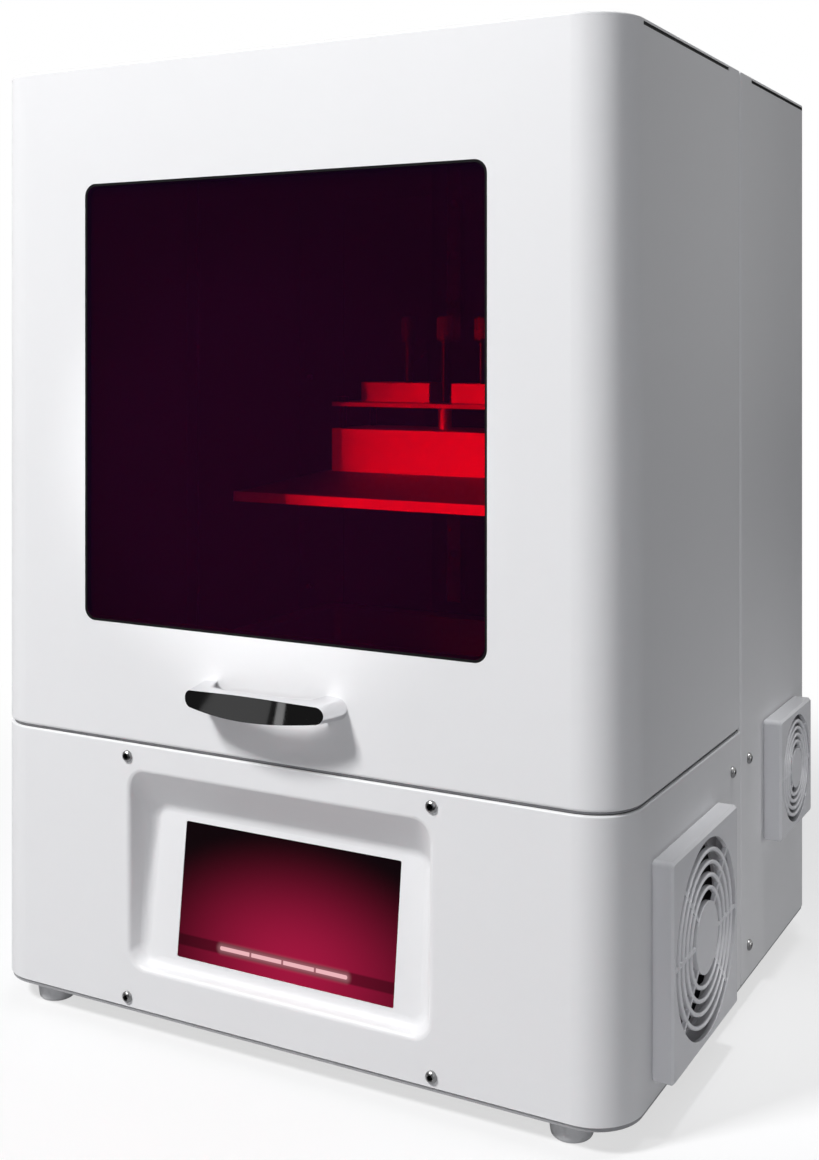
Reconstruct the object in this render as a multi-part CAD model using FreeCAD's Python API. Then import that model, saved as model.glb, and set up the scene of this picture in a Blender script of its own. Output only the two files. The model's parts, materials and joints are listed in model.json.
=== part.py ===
import FreeCAD
import Part
import math
import os

# Resin printer with a flip-up hood, in millimetres.
# While modelling, X runs across from the middle of the case, Y runs back from the front face
# and Z runs up from the table. Finished pieces are shifted so that the origin is the bottom
# centre of the whole printer.

# Case
case_width = 444.0
case_depth = 378.0
foot_height = 14.0
base_height = 169.0
hood_height = 427.0
hood_depth = 213.5
corner_radius = 30.0
sheet = 2.0
seam_gap = 1.2
hood_gap = 1.8
hood_edge_round = 1.8
return_flange = 12.0
bend_radius = 3.0
edge_round = 1.2
fit_gap = 0.3
running_gap = 0.05
cut_past = 1.0

# Feet and base plate
foot_top_radius = 13.5
foot_bottom_radius = 11.5
foot_round = 3.0
foot_from_side = 38.0
foot_from_end = 21.0
base_plate_thickness = 2.6
base_plate_inset = 1.0
base_lip_height = 12.0
base_lip_length = 300.0

# Window, gasket and handle
window_width = 285.0
window_height = 278.0
window_sill = 74.0
window_radius = 8.0
pane_thickness = 4.0
pane_setback = 0.4
gasket_width = 1.2
gasket_cover = 7.0
gasket_lip = 1.6
handle_rise = 38.4
handle_length = 106.0
handle_height = 16.0
handle_tip_height = 13.0
handle_front_length = 94.0
handle_front_height = 15.0
handle_front_tip_height = 9.5
handle_reach = 27.0
handle_thickness = 7.0
handle_post_width = 14.0
handle_post_draw = 3.5
handle_bow = 8.0

# Slots under the top plates, filled by black seal strips
top_slot_height = 2.0
top_slot_setback = 0.6
top_slot_end_gap = 25.0
top_flange_depth = 8.0
hood_seal_width = 6.0
hood_seal_height = 7.5
hood_seal_gap = 0.5

# Hinges on the top
hinge_from_middle = 130.0
hinge_length = 60.0
hinge_leaf_width = 26.0
hinge_leaf_thickness = 2.0
hinge_knuckles = 5
knuckle_radius = 4.0
knuckle_lift = 0.4
pin_radius = 2.5
pin_head = 1.0

# Display recess in the base cover
recess_width = 214.0
recess_height = 124.0
recess_below_seam = 17.0
recess_radius = 11.0
recess_side_draft = 7.0
recess_top_slope = 26.0
recess_bottom_slope = 3.0
recess_top_depth = 18.5
recess_bottom_depth = 7.0
recess_floor_radius = 12.0
recess_floor_round = 8.0
recess_edge_round = 3.5
display_width = 154.0
display_from_middle = 2.0
display_height = 82.0
display_radius = 1.0
display_border = 6.0
display_thickness = 6.0
display_setback = 0.2
board_thickness = 1.6
standoff_radius = 3.0

# Screws
screw_radius = 2.0
screw_length = 8.0
screw_head_radius = 3.6
screw_head_height = 2.2
screw_head_round = 1.6
screw_socket_radius = 1.5
screw_socket_depth = 1.3
front_screw_from_middle = 108.0
front_screw_below_seam = 9.0
front_screw_above_floor = 8.6
side_screw_from_seam = 18.5
side_screw_low = 23.0
side_screw_high = 146.0
rear_screw_rows = 4
rear_screw_from_side = 14.0
rear_screw_from_end = 20.0
bracket_length = 56.0
bracket_height = 20.0
bracket_thickness = 3.0

# Deck, posts and exposure screen
deck_below_seam = 1.0
deck_thickness = 4.0
deck_lip_height = 8.5
deck_lip_length = 250.0
post_size = 14.0
post_from_side = 40.0
post_from_front = 30.0
post_from_back = 21.0
screen_border = 11.0
screen_thickness = 3.0
screen_ledge = 9.0

# Light engine under the exposure screen
light_wall = 2.0
light_flange = 9.0
light_flange_thickness = 3.0
light_depth = 94.0
light_foot_width = 104.0
light_foot_depth = 84.0
lens_thickness = 2.0
led_board_thickness = 3.0
led_columns = 5
led_rows = 4
led_radius = 4.0
sink_base = 6.0
sink_fin_height = 25.0
sink_fins = 9
sink_fin_thickness = 2.5

# Fans in the right side
fan_depth = 25.0
fan_cover_margin = 1.0
fan_cover_reach = 12.5
fan_cover_wall = 2.5
fan_cover_face = 3.0
fan_cover_bevel = 1.5
fan_cover_corner = 3.0
fan_cover_foot = 1.0
fan_cover_foot_inset = 1.0
fan_rim = 3.5
fan_blades = 7
fan_blade_thickness = 1.6
fan_blade_root_angle = 45.0
fan_blade_tip_angle = 28.0
fan_blade_root_sink = 2.0
fan_blade_trim = 1.0
fan_tip_gap = 1.2
fan_shaft_radius = 2.0
fan_strut_width = 5.0
fan_strut_depth = 3.0
fan_strut_angles = (45, 135)
fan_corner_radius = 5.0
guard_rings = 4
guard_ring_width = 2.6
guard_spoke_width = 2.4
guard_spoke_angles = (0, 45, 135)
front_fan_size = 120.0
front_fan_pitch = 105.0
front_fan_from_front = 103.5
front_fan_above_floor = 74.7
front_fan_hub = 20.5
rear_fan_size = 80.0
rear_fan_pitch = 71.5
rear_fan_from_back = 69.5
rear_fan_above_floor = 122.5
rear_fan_hub = 13.5

# Vat
vat_clearance = 10.0
vat_wall = 16.0
vat_height = 31.5
vat_corner = 12.0
film_thickness = 0.5
film_ring_height = 4.0
film_ring_cover = 4.0
vat_ear_length = 22.0
vat_ear_width = 40.0
vat_ear_thickness = 6.0
vat_screw_radius = 2.5
vat_screw_knob_radius = 9.0
vat_screw_knob_height = 14.0
vat_screw_grips = 12
vat_screw_grip = 1.6

# Build platform, at the height where the photograph shows it
platform_from_front = 224.0
plate_width = 264.0
plate_depth = 148.0
plate_thickness = 7.0
plate_height = 137.5
plate_roof_inset = 4.0
plate_roof_height = 13.5
block_width = 156.0
block_depth = 56.0
block_height = 31.0
block_back_offset = 2.0
stud_radius = 5.0
stud_length = 16.5
arm_thickness = 3.0
arm_gusset_length = 66.0
arm_gusset_height = 36.0
arm_plate_drop = 16.0
clamp_width = 57.0
clamp_depth = 30.0
clamp_height = 14.0
clamp_gap = 18.0
clamp_from_plate_front = 70.0
knob_spacing = 30.0
knob_radius = 5.5
knob_height = 19.0
knob_stem_radius = 3.0
knob_top = 63.0
knob_bevel = 1.0
level_bolt_radius = 2.5
level_bolt_head_radius = 4.0
level_bolt_head = 4.0
level_bolt_from_end = 6.0
level_bolt_reach = 12.0

# Lift
screw_from_back = 24.0
column_width = 140.0
column_depth = 32.0
column_gap = 2.0
column_top_gap = 22.0
column_slot_width = 44.0
column_slot_depth = 25.0
column_cell_wall = 6.0
rail_width = 12.0
rail_height = 8.0
rail_from_middle = 46.0
rail_start = 44.0
rail_end_gap = 4.0
carriage_width = 27.0
carriage_height = 13.0
carriage_length = 45.0
carriage_lift = 1.5
lift_middle_rise = 10.0
lift_plate_width = 130.0
lift_plate_height = 70.0
lift_plate_thickness = 6.0
lead_screw_radius = 5.0
lead_screw_start = 14.0
lead_screw_end_gap = 10.0
nut_radius = 11.0
nut_length = 24.0
nut_block_width = 30.0
nut_block_height = 14.0
bearing_width = 40.0
bearing_height = 14.0
bearing_start = 30.0
bearing_end_gap = 4.0
coupling_radius = 9.5
coupling_length = 24.0
coupling_start = 2.0
motor_size = 42.0
motor_length = 40.0
motor_bevel = 4.0
motor_pilot_radius = 11.0
motor_pilot_height = 2.0
motor_shaft_radius = 2.5
motor_shaft_depth = 4.0

# Rear body, panel and electrics
service_from_side = 47.0
service_bottom = 6.0
service_top = 50.0
panel_inset = 3.0
vent_columns = 9
vent_pitch = 12.0
vent_width = 5.0
vent_height = 60.0
vent_above_seam = 60.0
inlet_from_side = 72.0
inlet_above_floor = 50.0
inlet_width = 48.0
inlet_height = 54.0
inlet_depth = 28.0
inlet_flange = 3.0
inlet_flange_thickness = 2.5
socket_width = 25.0
socket_height = 18.0
socket_depth = 16.0
rocker_width = 22.0
rocker_height = 15.0
rocker_reach = 3.5
rocker_depth = 8.0
rocker_dish = 2.0
rocker_pin_radius = 1.5
rocker_foot_height = 9.0
supply_width = 98.0
supply_length = 160.0
supply_height = 38.0
supply_from_side = 15.0
supply_from_back = 68.0
main_board_width = 110.0
main_board_depth = 108.0
main_board_lift = 6.0
main_board_from_side = 52.0
ports = 3
port_width = 16.0
port_height = 14.0
port_depth = 18.0
port_spacing = 26.0
port_reach = 0.5
chips = 2
chip_size = 18.0
chip_height = 3.0

# Places worked out from the sizes above
half_width = case_width / 2
inner_half = half_width - sheet
floor_top = foot_height + base_plate_thickness
seam_z = foot_height + base_height
case_top = seam_z + hood_height
wall_top = case_top - sheet
hood_back = hood_depth - seam_gap / 2
rear_front = hood_depth + seam_gap / 2
rear_back = case_depth - sheet
back_inside = rear_back - sheet
base_cover_top = seam_z - hood_gap / 2
hood_bottom = seam_z + hood_gap / 2
deck_top = seam_z - deck_below_seam
deck_bottom = deck_top - deck_thickness
recess_top = seam_z - recess_below_seam
recess_bottom = recess_top - recess_height
window_bottom = seam_z + window_sill
window_middle = window_bottom + window_height / 2
front_fan_z = foot_height + front_fan_above_floor
rear_fan_z = foot_height + rear_fan_above_floor
rear_fan_y = case_depth - rear_fan_from_back
screw_hole = screw_radius + running_gap
service_width = case_width - 2 * service_from_side
inlet_x = inlet_from_side - half_width
main_board_x = half_width - main_board_from_side - main_board_width
hinge_y = hood_depth
hinge_z = case_top + knuckle_radius + knuckle_lift
plate_front = platform_from_front - plate_depth / 2
plate_back = platform_from_front + plate_depth / 2
plate_bottom = deck_top + plate_height
plate_top = plate_bottom + plate_thickness
block_bottom = plate_top + plate_roof_height
block_top = block_bottom + block_height
block_middle = platform_from_front + block_back_offset
arm_bottom = block_top + stud_length
arm_top = arm_bottom + arm_thickness
clamp_front = plate_front + clamp_from_plate_front
knob_y = clamp_front + clamp_depth / 4
screw_y = back_inside - screw_from_back
column_back = back_inside - column_gap
column_front = column_back - column_depth
column_top = case_top - column_top_gap
slot_back = column_front + column_slot_depth
rail_front = column_front - rail_height
carriage_front = column_front - carriage_height
lift_plate_front = carriage_front - lift_plate_thickness
lift_middle = arm_top + lift_middle_rise
vat_inner_width = plate_width + 2 * vat_clearance
vat_inner_depth = plate_depth + 2 * vat_clearance
vat_outer_width = vat_inner_width + 2 * vat_wall
vat_outer_depth = vat_inner_depth + 2 * vat_wall
film_bottom = deck_top + film_ring_height
vat_bottom = film_bottom + film_thickness
vat_screw_x = vat_outer_width / 2 + vat_ear_length / 2
origin_x = (fan_cover_reach - screw_head_height) / 2
origin_y = (case_depth + rocker_reach + inlet_flange_thickness - handle_reach) / 2

x_axis = FreeCAD.Vector(1, 0, 0)
y_axis = FreeCAD.Vector(0, 1, 0)
z_axis = FreeCAD.Vector(0, 0, 1)
zero = FreeCAD.Vector(0, 0, 0)


def vec(x, y, z):
    return FreeCAD.Vector(x, y, z)


def block(x0, x1, y0, y1, z0, z1):
    return Part.makeBox(x1 - x0, y1 - y0, z1 - z0, vec(x0, y0, z0))


def rod_z(x, y, radius, z0, z1):
    return Part.makeCylinder(radius, z1 - z0, vec(x, y, z0), z_axis)


def rod_x(y, z, radius, x0, x1):
    return Part.makeCylinder(radius, x1 - x0, vec(x0, y, z), x_axis)


def rod_y(x, z, radius, y0, y1):
    return Part.makeCylinder(radius, y1 - y0, vec(x, y0, z), y_axis)


def join(shapes):
    solid = shapes[0]
    if len(shapes) > 1:
        solid = solid.multiFuse(shapes[1:])
    return solid.removeSplitter()


def corner_arc(cx, cy, radius, start):
    # Quarter arc about a corner's centre, starting at the given angle.
    points = []
    for degrees in (start, start + 45, start + 90):
        angle = math.radians(degrees)
        points.append(vec(cx + radius * math.cos(angle), cy + radius * math.sin(angle), 0))
    return Part.Arc(*points).toShape()


def outline(x0, x1, y0, y1, front_radius, back_radius):
    # Rectangle in the XY plane with one radius for its two front corners and one for the back two.
    corners = (
        (x0 + front_radius, y0 + front_radius, front_radius, 180),
        (x1 - front_radius, y0 + front_radius, front_radius, 270),
        (x1 - back_radius, y1 - back_radius, back_radius, 0),
        (x0 + back_radius, y1 - back_radius, back_radius, 90),
    )
    pieces = []
    ends = []
    for cx, cy, radius, start in corners:
        if radius > 0:
            arc = corner_arc(cx, cy, radius, start)
            ends.append((arc.Vertexes[0].Point, arc.Vertexes[-1].Point))
            pieces.append(arc)
        else:
            ends.append((vec(cx, cy, 0), vec(cx, cy, 0)))
            pieces.append(None)
    edges = []
    for index, arc in enumerate(pieces):
        if arc is not None:
            edges.append(arc)
        following = ends[(index + 1) % len(ends)][0]
        edges.append(Part.makeLine(ends[index][1], following))
    return Part.Wire(edges)


def rounded_wire(width, height, radius):
    return outline(-width / 2, width / 2, -height / 2, height / 2, radius, radius)


def flat_prism(x0, x1, y0, y1, front_radius, back_radius, z0, z1):
    face = Part.Face(outline(x0, x1, y0, y1, front_radius, back_radius))
    face.translate(vec(0, 0, z0))
    return face.extrude(vec(0, 0, z1 - z0))


def front_prism(cx, cz, width, height, radius, y0, y1):
    face = Part.Face(rounded_wire(width, height, radius))
    face.rotate(zero, x_axis, 90)
    face.translate(vec(cx, y0, cz))
    return face.extrude(vec(0, y1 - y0, 0))


def side_prism(cy, cz, width, height, radius, x0, x1):
    face = Part.Face(rounded_wire(width, height, radius))
    face.rotate(zero, x_axis, 90)
    face.rotate(zero, z_axis, 90)
    face.translate(vec(x0, cy, cz))
    return face.extrude(vec(x1 - x0, 0, 0))


def case_prism(inset, y1, z0, z1, back_radius=0):
    # The case outline in plan, with large rounded corners at the front.
    return flat_prism(
        inset - half_width, half_width - inset, inset, y1, corner_radius - inset, back_radius, z0, z1
    )


def mirror_pair(shape):
    return Part.makeCompound([shape, shape.mirror(zero, x_axis)])


def edges_on_plane(shape, axis, value):
    found = []
    for edge in shape.Edges:
        low = getattr(edge.BoundBox, axis + "Min")
        high = getattr(edge.BoundBox, axis + "Max")
        if abs(low - value) < 1e-4 and abs(high - value) < 1e-4:
            found.append(edge)
    return found


def outside_edges(shape, z):
    # Edges at one height that run along the outside of the case.
    found = []
    for edge in edges_on_plane(shape, "Z", z):
        box = edge.BoundBox
        reaches_out = max(-box.XMin, box.XMax) > inner_half + sheet / 2 or box.YMin < sheet / 2
        if reaches_out and edge.Length > 2 * sheet:
            found.append(edge)
    return found


def save(name, shape):
    placed = shape.copy()
    placed.translate(vec(-origin_x, -origin_y, 0))
    placed.exportStep("parts/" + name + ".step")


# Base: feet, plate, cover, screws


def foot_places():
    for x in (foot_from_side - half_width, half_width - foot_from_side):
        for y in (foot_from_end, case_depth - foot_from_end):
            yield x, y


def feet():
    rubber = Part.makeCone(foot_bottom_radius, foot_top_radius, foot_height)
    rubber = rubber.makeFillet(foot_round, edges_on_plane(rubber, "Z", 0))
    placed = []
    for x, y in foot_places():
        copy = rubber.copy()
        copy.translate(vec(x, y, 0))
        placed.append(copy)
    return Part.makeCompound(placed)


def base_plate():
    inset = base_plate_inset
    tray = flat_prism(
        inset - half_width,
        half_width - inset,
        inset,
        case_depth - inset,
        corner_radius - inset,
        bend_radius,
        foot_height,
        floor_top,
    )
    lip_front = sheet + fit_gap
    lip_half = base_lip_length / 2
    lip = block(-lip_half, lip_half, lip_front, lip_front + sheet, floor_top, floor_top + base_lip_height)
    tray = join([tray, lip])
    for x in (-front_screw_from_middle, front_screw_from_middle):
        hole = rod_y(x, foot_height + front_screw_above_floor, screw_hole, 0, lip_front + 2 * sheet)
        tray = tray.cut(hole)
    return tray


def front_screw_places():
    for x in (-front_screw_from_middle, front_screw_from_middle):
        for z in (foot_height + front_screw_above_floor, seam_z - front_screw_below_seam):
            yield x, z


def side_screw_places():
    for y in (hood_depth - side_screw_from_seam, hood_depth + side_screw_from_seam):
        for z in (foot_height + side_screw_low, foot_height + side_screw_high):
            yield y, z


def rear_screw_places():
    low = floor_top + rear_screw_from_end
    step = (wall_top - rear_screw_from_end - low) / (rear_screw_rows - 1)
    for x in (rear_screw_from_side - half_width, half_width - rear_screw_from_side):
        for row in range(rear_screw_rows):
            yield x, low + row * step


def case_screw(point, direction):
    # Button head with a hex socket outside the sheet, shank inwards.
    head = Part.makeCylinder(screw_head_radius, screw_head_height)
    head = head.makeFillet(screw_head_round, edges_on_plane(head, "Z", screw_head_height))
    shank = rod_z(0, 0, screw_radius, -screw_length, 0)
    corners = []
    for index in range(6):
        angle = math.radians(60 * index)
        corners.append(vec(math.cos(angle), math.sin(angle), 0) * screw_socket_radius)
    socket = Part.Face(Part.makePolygon(corners + corners[:1])).extrude(vec(0, 0, screw_socket_depth))
    socket.translate(vec(0, 0, screw_head_height - screw_socket_depth))
    screw = join([head, shank]).cut(socket)
    screw.Placement = FreeCAD.Placement(point, FreeCAD.Rotation(z_axis, direction))
    return screw


def case_screws():
    screws = []
    for x, z in front_screw_places():
        screws.append(case_screw(vec(x, 0, z), -y_axis))
    for y, z in side_screw_places():
        screws.append(case_screw(vec(half_width, y, z), x_axis))
        screws.append(case_screw(vec(-half_width, y, z), -x_axis))
    for x, z in rear_screw_places():
        screws.append(case_screw(vec(x, case_depth, z), y_axis))
    return Part.makeCompound(screws)


def seam_brackets():
    # Joining plates inside the vertical seam; the side screws of cover and rear body go into them.
    plates = []
    for z in (foot_height + side_screw_low, foot_height + side_screw_high):
        plate = block(
            inner_half - bracket_thickness,
            inner_half,
            hood_depth - bracket_length / 2,
            hood_depth + bracket_length / 2,
            z - bracket_height / 2,
            z + bracket_height / 2,
        )
        for y in (hood_depth - side_screw_from_seam, hood_depth + side_screw_from_seam):
            plate = plate.cut(rod_x(y, z, screw_hole, inner_half - 2 * bracket_thickness, inner_half))
        plates.append(plate)
        plates.append(plate.mirror(zero, x_axis))
    return Part.makeCompound(plates)


# Display recess: a sloped floor, deep at the top and shallow at the bottom


def recess_tilt():
    rise = recess_height - recess_top_slope - recess_bottom_slope
    return math.degrees(math.atan2(recess_top_depth - recess_bottom_depth, rise))


def recess_floor_size():
    rise = recess_height - recess_top_slope - recess_bottom_slope
    slope = math.hypot(rise, recess_top_depth - recess_bottom_depth)
    return recess_width - 2 * recess_side_draft, slope


def on_display(shape, lift):
    # Puts a shape drawn flat on XY onto the sloped floor, lifted along the floor's normal.
    middle_z = (recess_bottom + recess_bottom_slope + recess_top - recess_top_slope) / 2
    middle_y = (recess_top_depth + recess_bottom_depth) / 2
    placed = shape.copy()
    placed.translate(vec(0, 0, lift))
    placed.rotate(zero, x_axis, 90 - recess_tilt())
    placed.translate(vec(0, middle_y, middle_z))
    return placed


def recess_loft(offset, front_y):
    mouth = rounded_wire(recess_width + 2 * offset, recess_height + 2 * offset, recess_radius + offset)
    mouth.rotate(zero, x_axis, 90)
    mouth.translate(vec(0, front_y, (recess_top + recess_bottom) / 2))
    width, height = recess_floor_size()
    floor = rounded_wire(width + 2 * offset, height + 2 * offset, recess_floor_radius + offset)
    floor = on_display(floor, -offset)
    pocket = Part.makeLoft([mouth, floor], True, True)
    bottom = max(pocket.Faces, key=lambda face: face.CenterOfMass.y)
    return pocket.makeFillet(recess_floor_round + offset, bottom.Edges)


def display_prism(border, radius, low, high):
    face = Part.Face(rounded_wire(display_width + 2 * border, display_height + 2 * border, radius))
    face = face.extrude(vec(0, 0, high - low))
    face.translate(vec(display_from_middle, 0, 0))
    return on_display(face, low)


def base_cover():
    outer = case_prism(0, hood_back, floor_top, base_cover_top)
    inner = case_prism(sheet, hood_back + sheet, floor_top, base_cover_top)
    cover = outer.cut(inner)
    cover = cover.makeFillet(edge_round, outside_edges(cover, base_cover_top))
    cover = cover.fuse(recess_loft(sheet, sheet / 2))
    cover = cover.cut(recess_loft(0, 0)).removeSplitter()
    mouth = []
    for edge in edges_on_plane(cover, "Y", 0):
        box = edge.BoundBox
        inside = abs(box.Center.x) <= recess_width / 2 and box.ZMin > recess_bottom - cut_past
        if inside and box.ZMax < recess_top + cut_past:
            mouth.append(edge)
    cover = cover.makeFillet(recess_edge_round, mouth)
    cover = cover.cut(display_prism(fit_gap / 2, display_radius, -2 * sheet, sheet))
    for x, z in front_screw_places():
        cover = cover.cut(rod_y(x, z, screw_hole, -cut_past, 2 * sheet))
    for y, z in side_screw_places():
        if y < hood_depth:
            cover = cover.cut(rod_x(y, z, screw_hole, -half_width - cut_past, half_width + cut_past))
    opening = front_fan_size / 2 - fan_rim
    cover = cover.cut(rod_x(front_fan_from_front, front_fan_z, opening, 0, half_width + cut_past))
    for y, z in fan_corners(front_fan_from_front, front_fan_z, front_fan_pitch):
        cover = cover.cut(rod_x(y, z, screw_hole, 0, half_width + cut_past))
    return cover


def touch_display():
    body = display_prism(display_border, display_radius, -sheet - display_thickness, -sheet)
    glass = display_prism(0, display_radius, -sheet, -display_setback)
    return join([body, glass])


# Deck and what stands on or hangs under it


def deck_plate():
    edge = inner_half - fit_gap
    front = sheet + fit_gap
    deck = flat_prism(
        -edge, edge, front, back_inside - fit_gap, corner_radius - front, sheet, deck_bottom, deck_top
    )
    lip_half = deck_lip_length / 2
    lip = block(-lip_half, lip_half, front, front + sheet, deck_bottom - deck_lip_height, deck_bottom)
    deck = join([deck, lip])
    for x in (-front_screw_from_middle, front_screw_from_middle):
        hole = rod_y(x, seam_z - front_screw_below_seam, screw_hole, 0, front + 2 * sheet)
        deck = deck.cut(hole)
    notch = block(
        half_width - return_flange - fit_gap,
        half_width,
        rear_front - seam_gap,
        rear_front + sheet + fit_gap,
        deck_bottom,
        deck_top,
    )
    deck = deck.cut(mirror_pair(notch))
    ledge = flat_screen(screen_border + fit_gap / 2, deck_top - screen_thickness, deck_top)
    window = flat_screen(screen_border - screen_ledge, deck_bottom, deck_top)
    deck = deck.cut(ledge).cut(window)
    deck = deck.cut(rod_z(0, screw_y, motor_pilot_radius + fit_gap, deck_bottom, deck_top))
    for x in (-vat_screw_x, vat_screw_x):
        hole = rod_z(x, platform_from_front, vat_screw_radius + running_gap, deck_bottom, deck_top)
        deck = deck.cut(hole)
    return deck


def flat_screen(border, z0, z1):
    # A rectangle round the exposed area, which is as large as the build plate.
    return flat_prism(
        -plate_width / 2 - border,
        plate_width / 2 + border,
        plate_front - border,
        plate_back + border,
        0,
        0,
        z0,
        z1,
    )


def deck_posts():
    posts = []
    for y in (post_from_front, case_depth - post_from_back):
        x = half_width - post_from_side
        half = post_size / 2
        post = block(x - half, x + half, y - half, y + half, floor_top, deck_bottom)
        hollow = block(
            x - half + sheet, x + half - sheet, y - half + sheet, y + half - sheet, floor_top, deck_bottom
        )
        post = post.cut(hollow)
        posts.append(post)
        posts.append(post.mirror(zero, x_axis))
    return Part.makeCompound(posts)


def exposure_screen():
    return flat_screen(screen_border, deck_top - screen_thickness, deck_top)


def light_frustum(inset, z0, z1):
    border = screen_border - inset
    top = rounded_wire(plate_width + 2 * border, plate_depth + 2 * border, fan_corner_radius)
    top.translate(vec(0, platform_from_front, z1))
    foot = rounded_wire(light_foot_width - 2 * inset, light_foot_depth - 2 * inset, fan_corner_radius)
    foot.translate(vec(0, platform_from_front, z0))
    return Part.makeLoft([foot, top], True, True)


def light_housing():
    bottom = deck_bottom - light_depth
    shell = light_frustum(0, bottom, deck_bottom)
    flange = flat_screen(screen_border + light_flange, deck_bottom - light_flange_thickness, deck_bottom)
    return join([shell, flange]).cut(light_frustum(light_wall, bottom, deck_bottom))


def light_lens():
    # Rests inside the top of the housing, cut to its sloped walls.
    top = deck_bottom
    plate = flat_screen(screen_border, top - lens_thickness, top)
    return plate.common(light_frustum(light_wall, deck_bottom - light_depth, deck_bottom))


def led_board():
    top = deck_bottom - light_depth
    half_x = light_foot_width / 2
    half_y = light_foot_depth / 2
    middle = platform_from_front
    board = block(-half_x, half_x, middle - half_y, middle + half_y, top - led_board_thickness, top)
    pieces = [board]
    pitch_x = (light_foot_width - 4 * led_radius) / led_columns
    pitch_y = (light_foot_depth - 4 * led_radius) / led_rows
    for column in range(led_columns):
        for row in range(led_rows):
            x = (column - (led_columns - 1) / 2) * pitch_x
            y = middle + (row - (led_rows - 1) / 2) * pitch_y
            half = led_radius
            pieces.append(block(x - half, x + half, y - half, y + half, top, top + led_radius))
    return join(pieces)


def heat_sink():
    top = deck_bottom - light_depth - led_board_thickness
    half_x = light_foot_width / 2
    half_y = light_foot_depth / 2
    middle = platform_from_front
    fin_bottom = top - sink_base - sink_fin_height
    sink = block(-half_x, half_x, middle - half_y, middle + half_y, fin_bottom, top)
    pitch = (light_foot_width - sink_fin_thickness) / (sink_fins - 1)
    for index in range(sink_fins - 1):
        x0 = -half_x + sink_fin_thickness + index * pitch
        gap = block(
            x0,
            x0 + pitch - sink_fin_thickness,
            middle - half_y,
            middle + half_y,
            fin_bottom,
            top - sink_base,
        )
        sink = sink.cut(gap)
    return sink


# Rear body and its panels


def rear_body():
    outer = flat_prism(
        -half_width, half_width, rear_front, rear_back, bend_radius, bend_radius, floor_top, wall_top
    )
    bend = bend_radius - sheet
    inner = flat_prism(
        -inner_half, inner_half, rear_front + sheet, back_inside, bend, bend, floor_top, wall_top
    )
    body = outer.cut(inner)
    mouth_half = half_width - return_flange
    body = body.cut(block(-mouth_half, mouth_half, 0, rear_front + 2 * sheet, floor_top, wall_top))
    for low, high in flange_notches():
        notch = block(
            mouth_half - cut_past,
            inner_half,
            rear_front - cut_past,
            rear_front + sheet + cut_past,
            low,
            high,
        )
        body = body.cut(mirror_pair(notch))
    service = front_prism(
        0,
        (floor_top + service_bottom + wall_top - service_top) / 2,
        service_width,
        wall_top - service_top - floor_top - service_bottom,
        bend_radius,
        back_inside - cut_past,
        rear_back + cut_past,
    )
    body = body.cut(service)
    for y, z in side_screw_places():
        if y > hood_depth:
            body = body.cut(rod_x(y, z, screw_hole, -half_width - cut_past, half_width + cut_past))
    for x, z in rear_screw_places():
        body = body.cut(rod_y(x, z, screw_hole, back_inside - cut_past, rear_back + cut_past))
    opening = rear_fan_size / 2 - fan_rim
    body = body.cut(rod_x(rear_fan_y, rear_fan_z, opening, 0, half_width + cut_past))
    for y, z in fan_corners(rear_fan_y, rear_fan_z, rear_fan_pitch):
        body = body.cut(rod_x(y, z, screw_hole, 0, half_width + cut_past))
    slot = top_slot(rear_front + top_slot_end_gap, back_inside, 0)
    return body.cut(slot)


def flange_notches():
    # Heights where the inward flange makes way for the seam brackets and the deck.
    for z in (foot_height + side_screw_low, foot_height + side_screw_high):
        yield z - bracket_height / 2 - fit_gap, z + bracket_height / 2 + fit_gap
    yield deck_bottom - fit_gap, deck_top + fit_gap


def top_slot(y0, y1, setback):
    strip = block(
        inner_half, half_width - setback, y0, y1, wall_top - top_slot_height, wall_top
    )
    return mirror_pair(strip)


def rear_top():
    plate = flat_prism(
        -half_width, half_width, rear_front, rear_back, bend_radius, bend_radius, wall_top, case_top
    )
    plate = plate.makeFillet(edge_round, edges_on_plane(plate, "Z", case_top))
    outer = inner_half - fit_gap
    back = back_inside - fit_gap
    ring = block(-outer, outer, back - sheet, back, wall_top - top_flange_depth, wall_top)
    side = block(
        outer - sheet,
        outer,
        rear_front + 2 * sheet,
        back_inside - fit_gap,
        wall_top - top_flange_depth,
        wall_top,
    )
    return join([plate, ring, side, side.mirror(zero, x_axis)])


def rear_top_seals():
    return top_slot(rear_front + top_slot_end_gap, back_inside, top_slot_setback)


def rear_panel():
    low = floor_top + panel_inset
    high = wall_top - panel_inset
    panel = front_prism(
        0, (low + high) / 2, case_width - 2 * panel_inset, high - low, bend_radius, rear_back, case_depth
    )
    for x, z in rear_screw_places():
        panel = panel.cut(rod_y(x, z, screw_hole, rear_back - cut_past, case_depth + cut_past))
    inlet_z = floor_top + inlet_above_floor
    hole = front_prism(
        inlet_x,
        inlet_z,
        inlet_width + fit_gap,
        inlet_height + fit_gap,
        bend_radius,
        rear_back - cut_past,
        case_depth + cut_past,
    )
    panel = panel.cut(hole)
    for x, z in port_places():
        slot = block(
            x - port_width / 2 - fit_gap,
            x + port_width / 2 + fit_gap,
            rear_back - cut_past,
            case_depth + cut_past,
            z - fit_gap,
            z + port_height + fit_gap,
        )
        panel = panel.cut(slot)
    for column in range(vent_columns):
        x = (column - (vent_columns - 1) / 2) * vent_pitch
        vent = block(
            x - vent_width / 2,
            x + vent_width / 2,
            rear_back - cut_past,
            case_depth + cut_past,
            seam_z - vent_above_seam - vent_height,
            seam_z - vent_above_seam,
        )
        panel = panel.cut(vent)
    return panel


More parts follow.
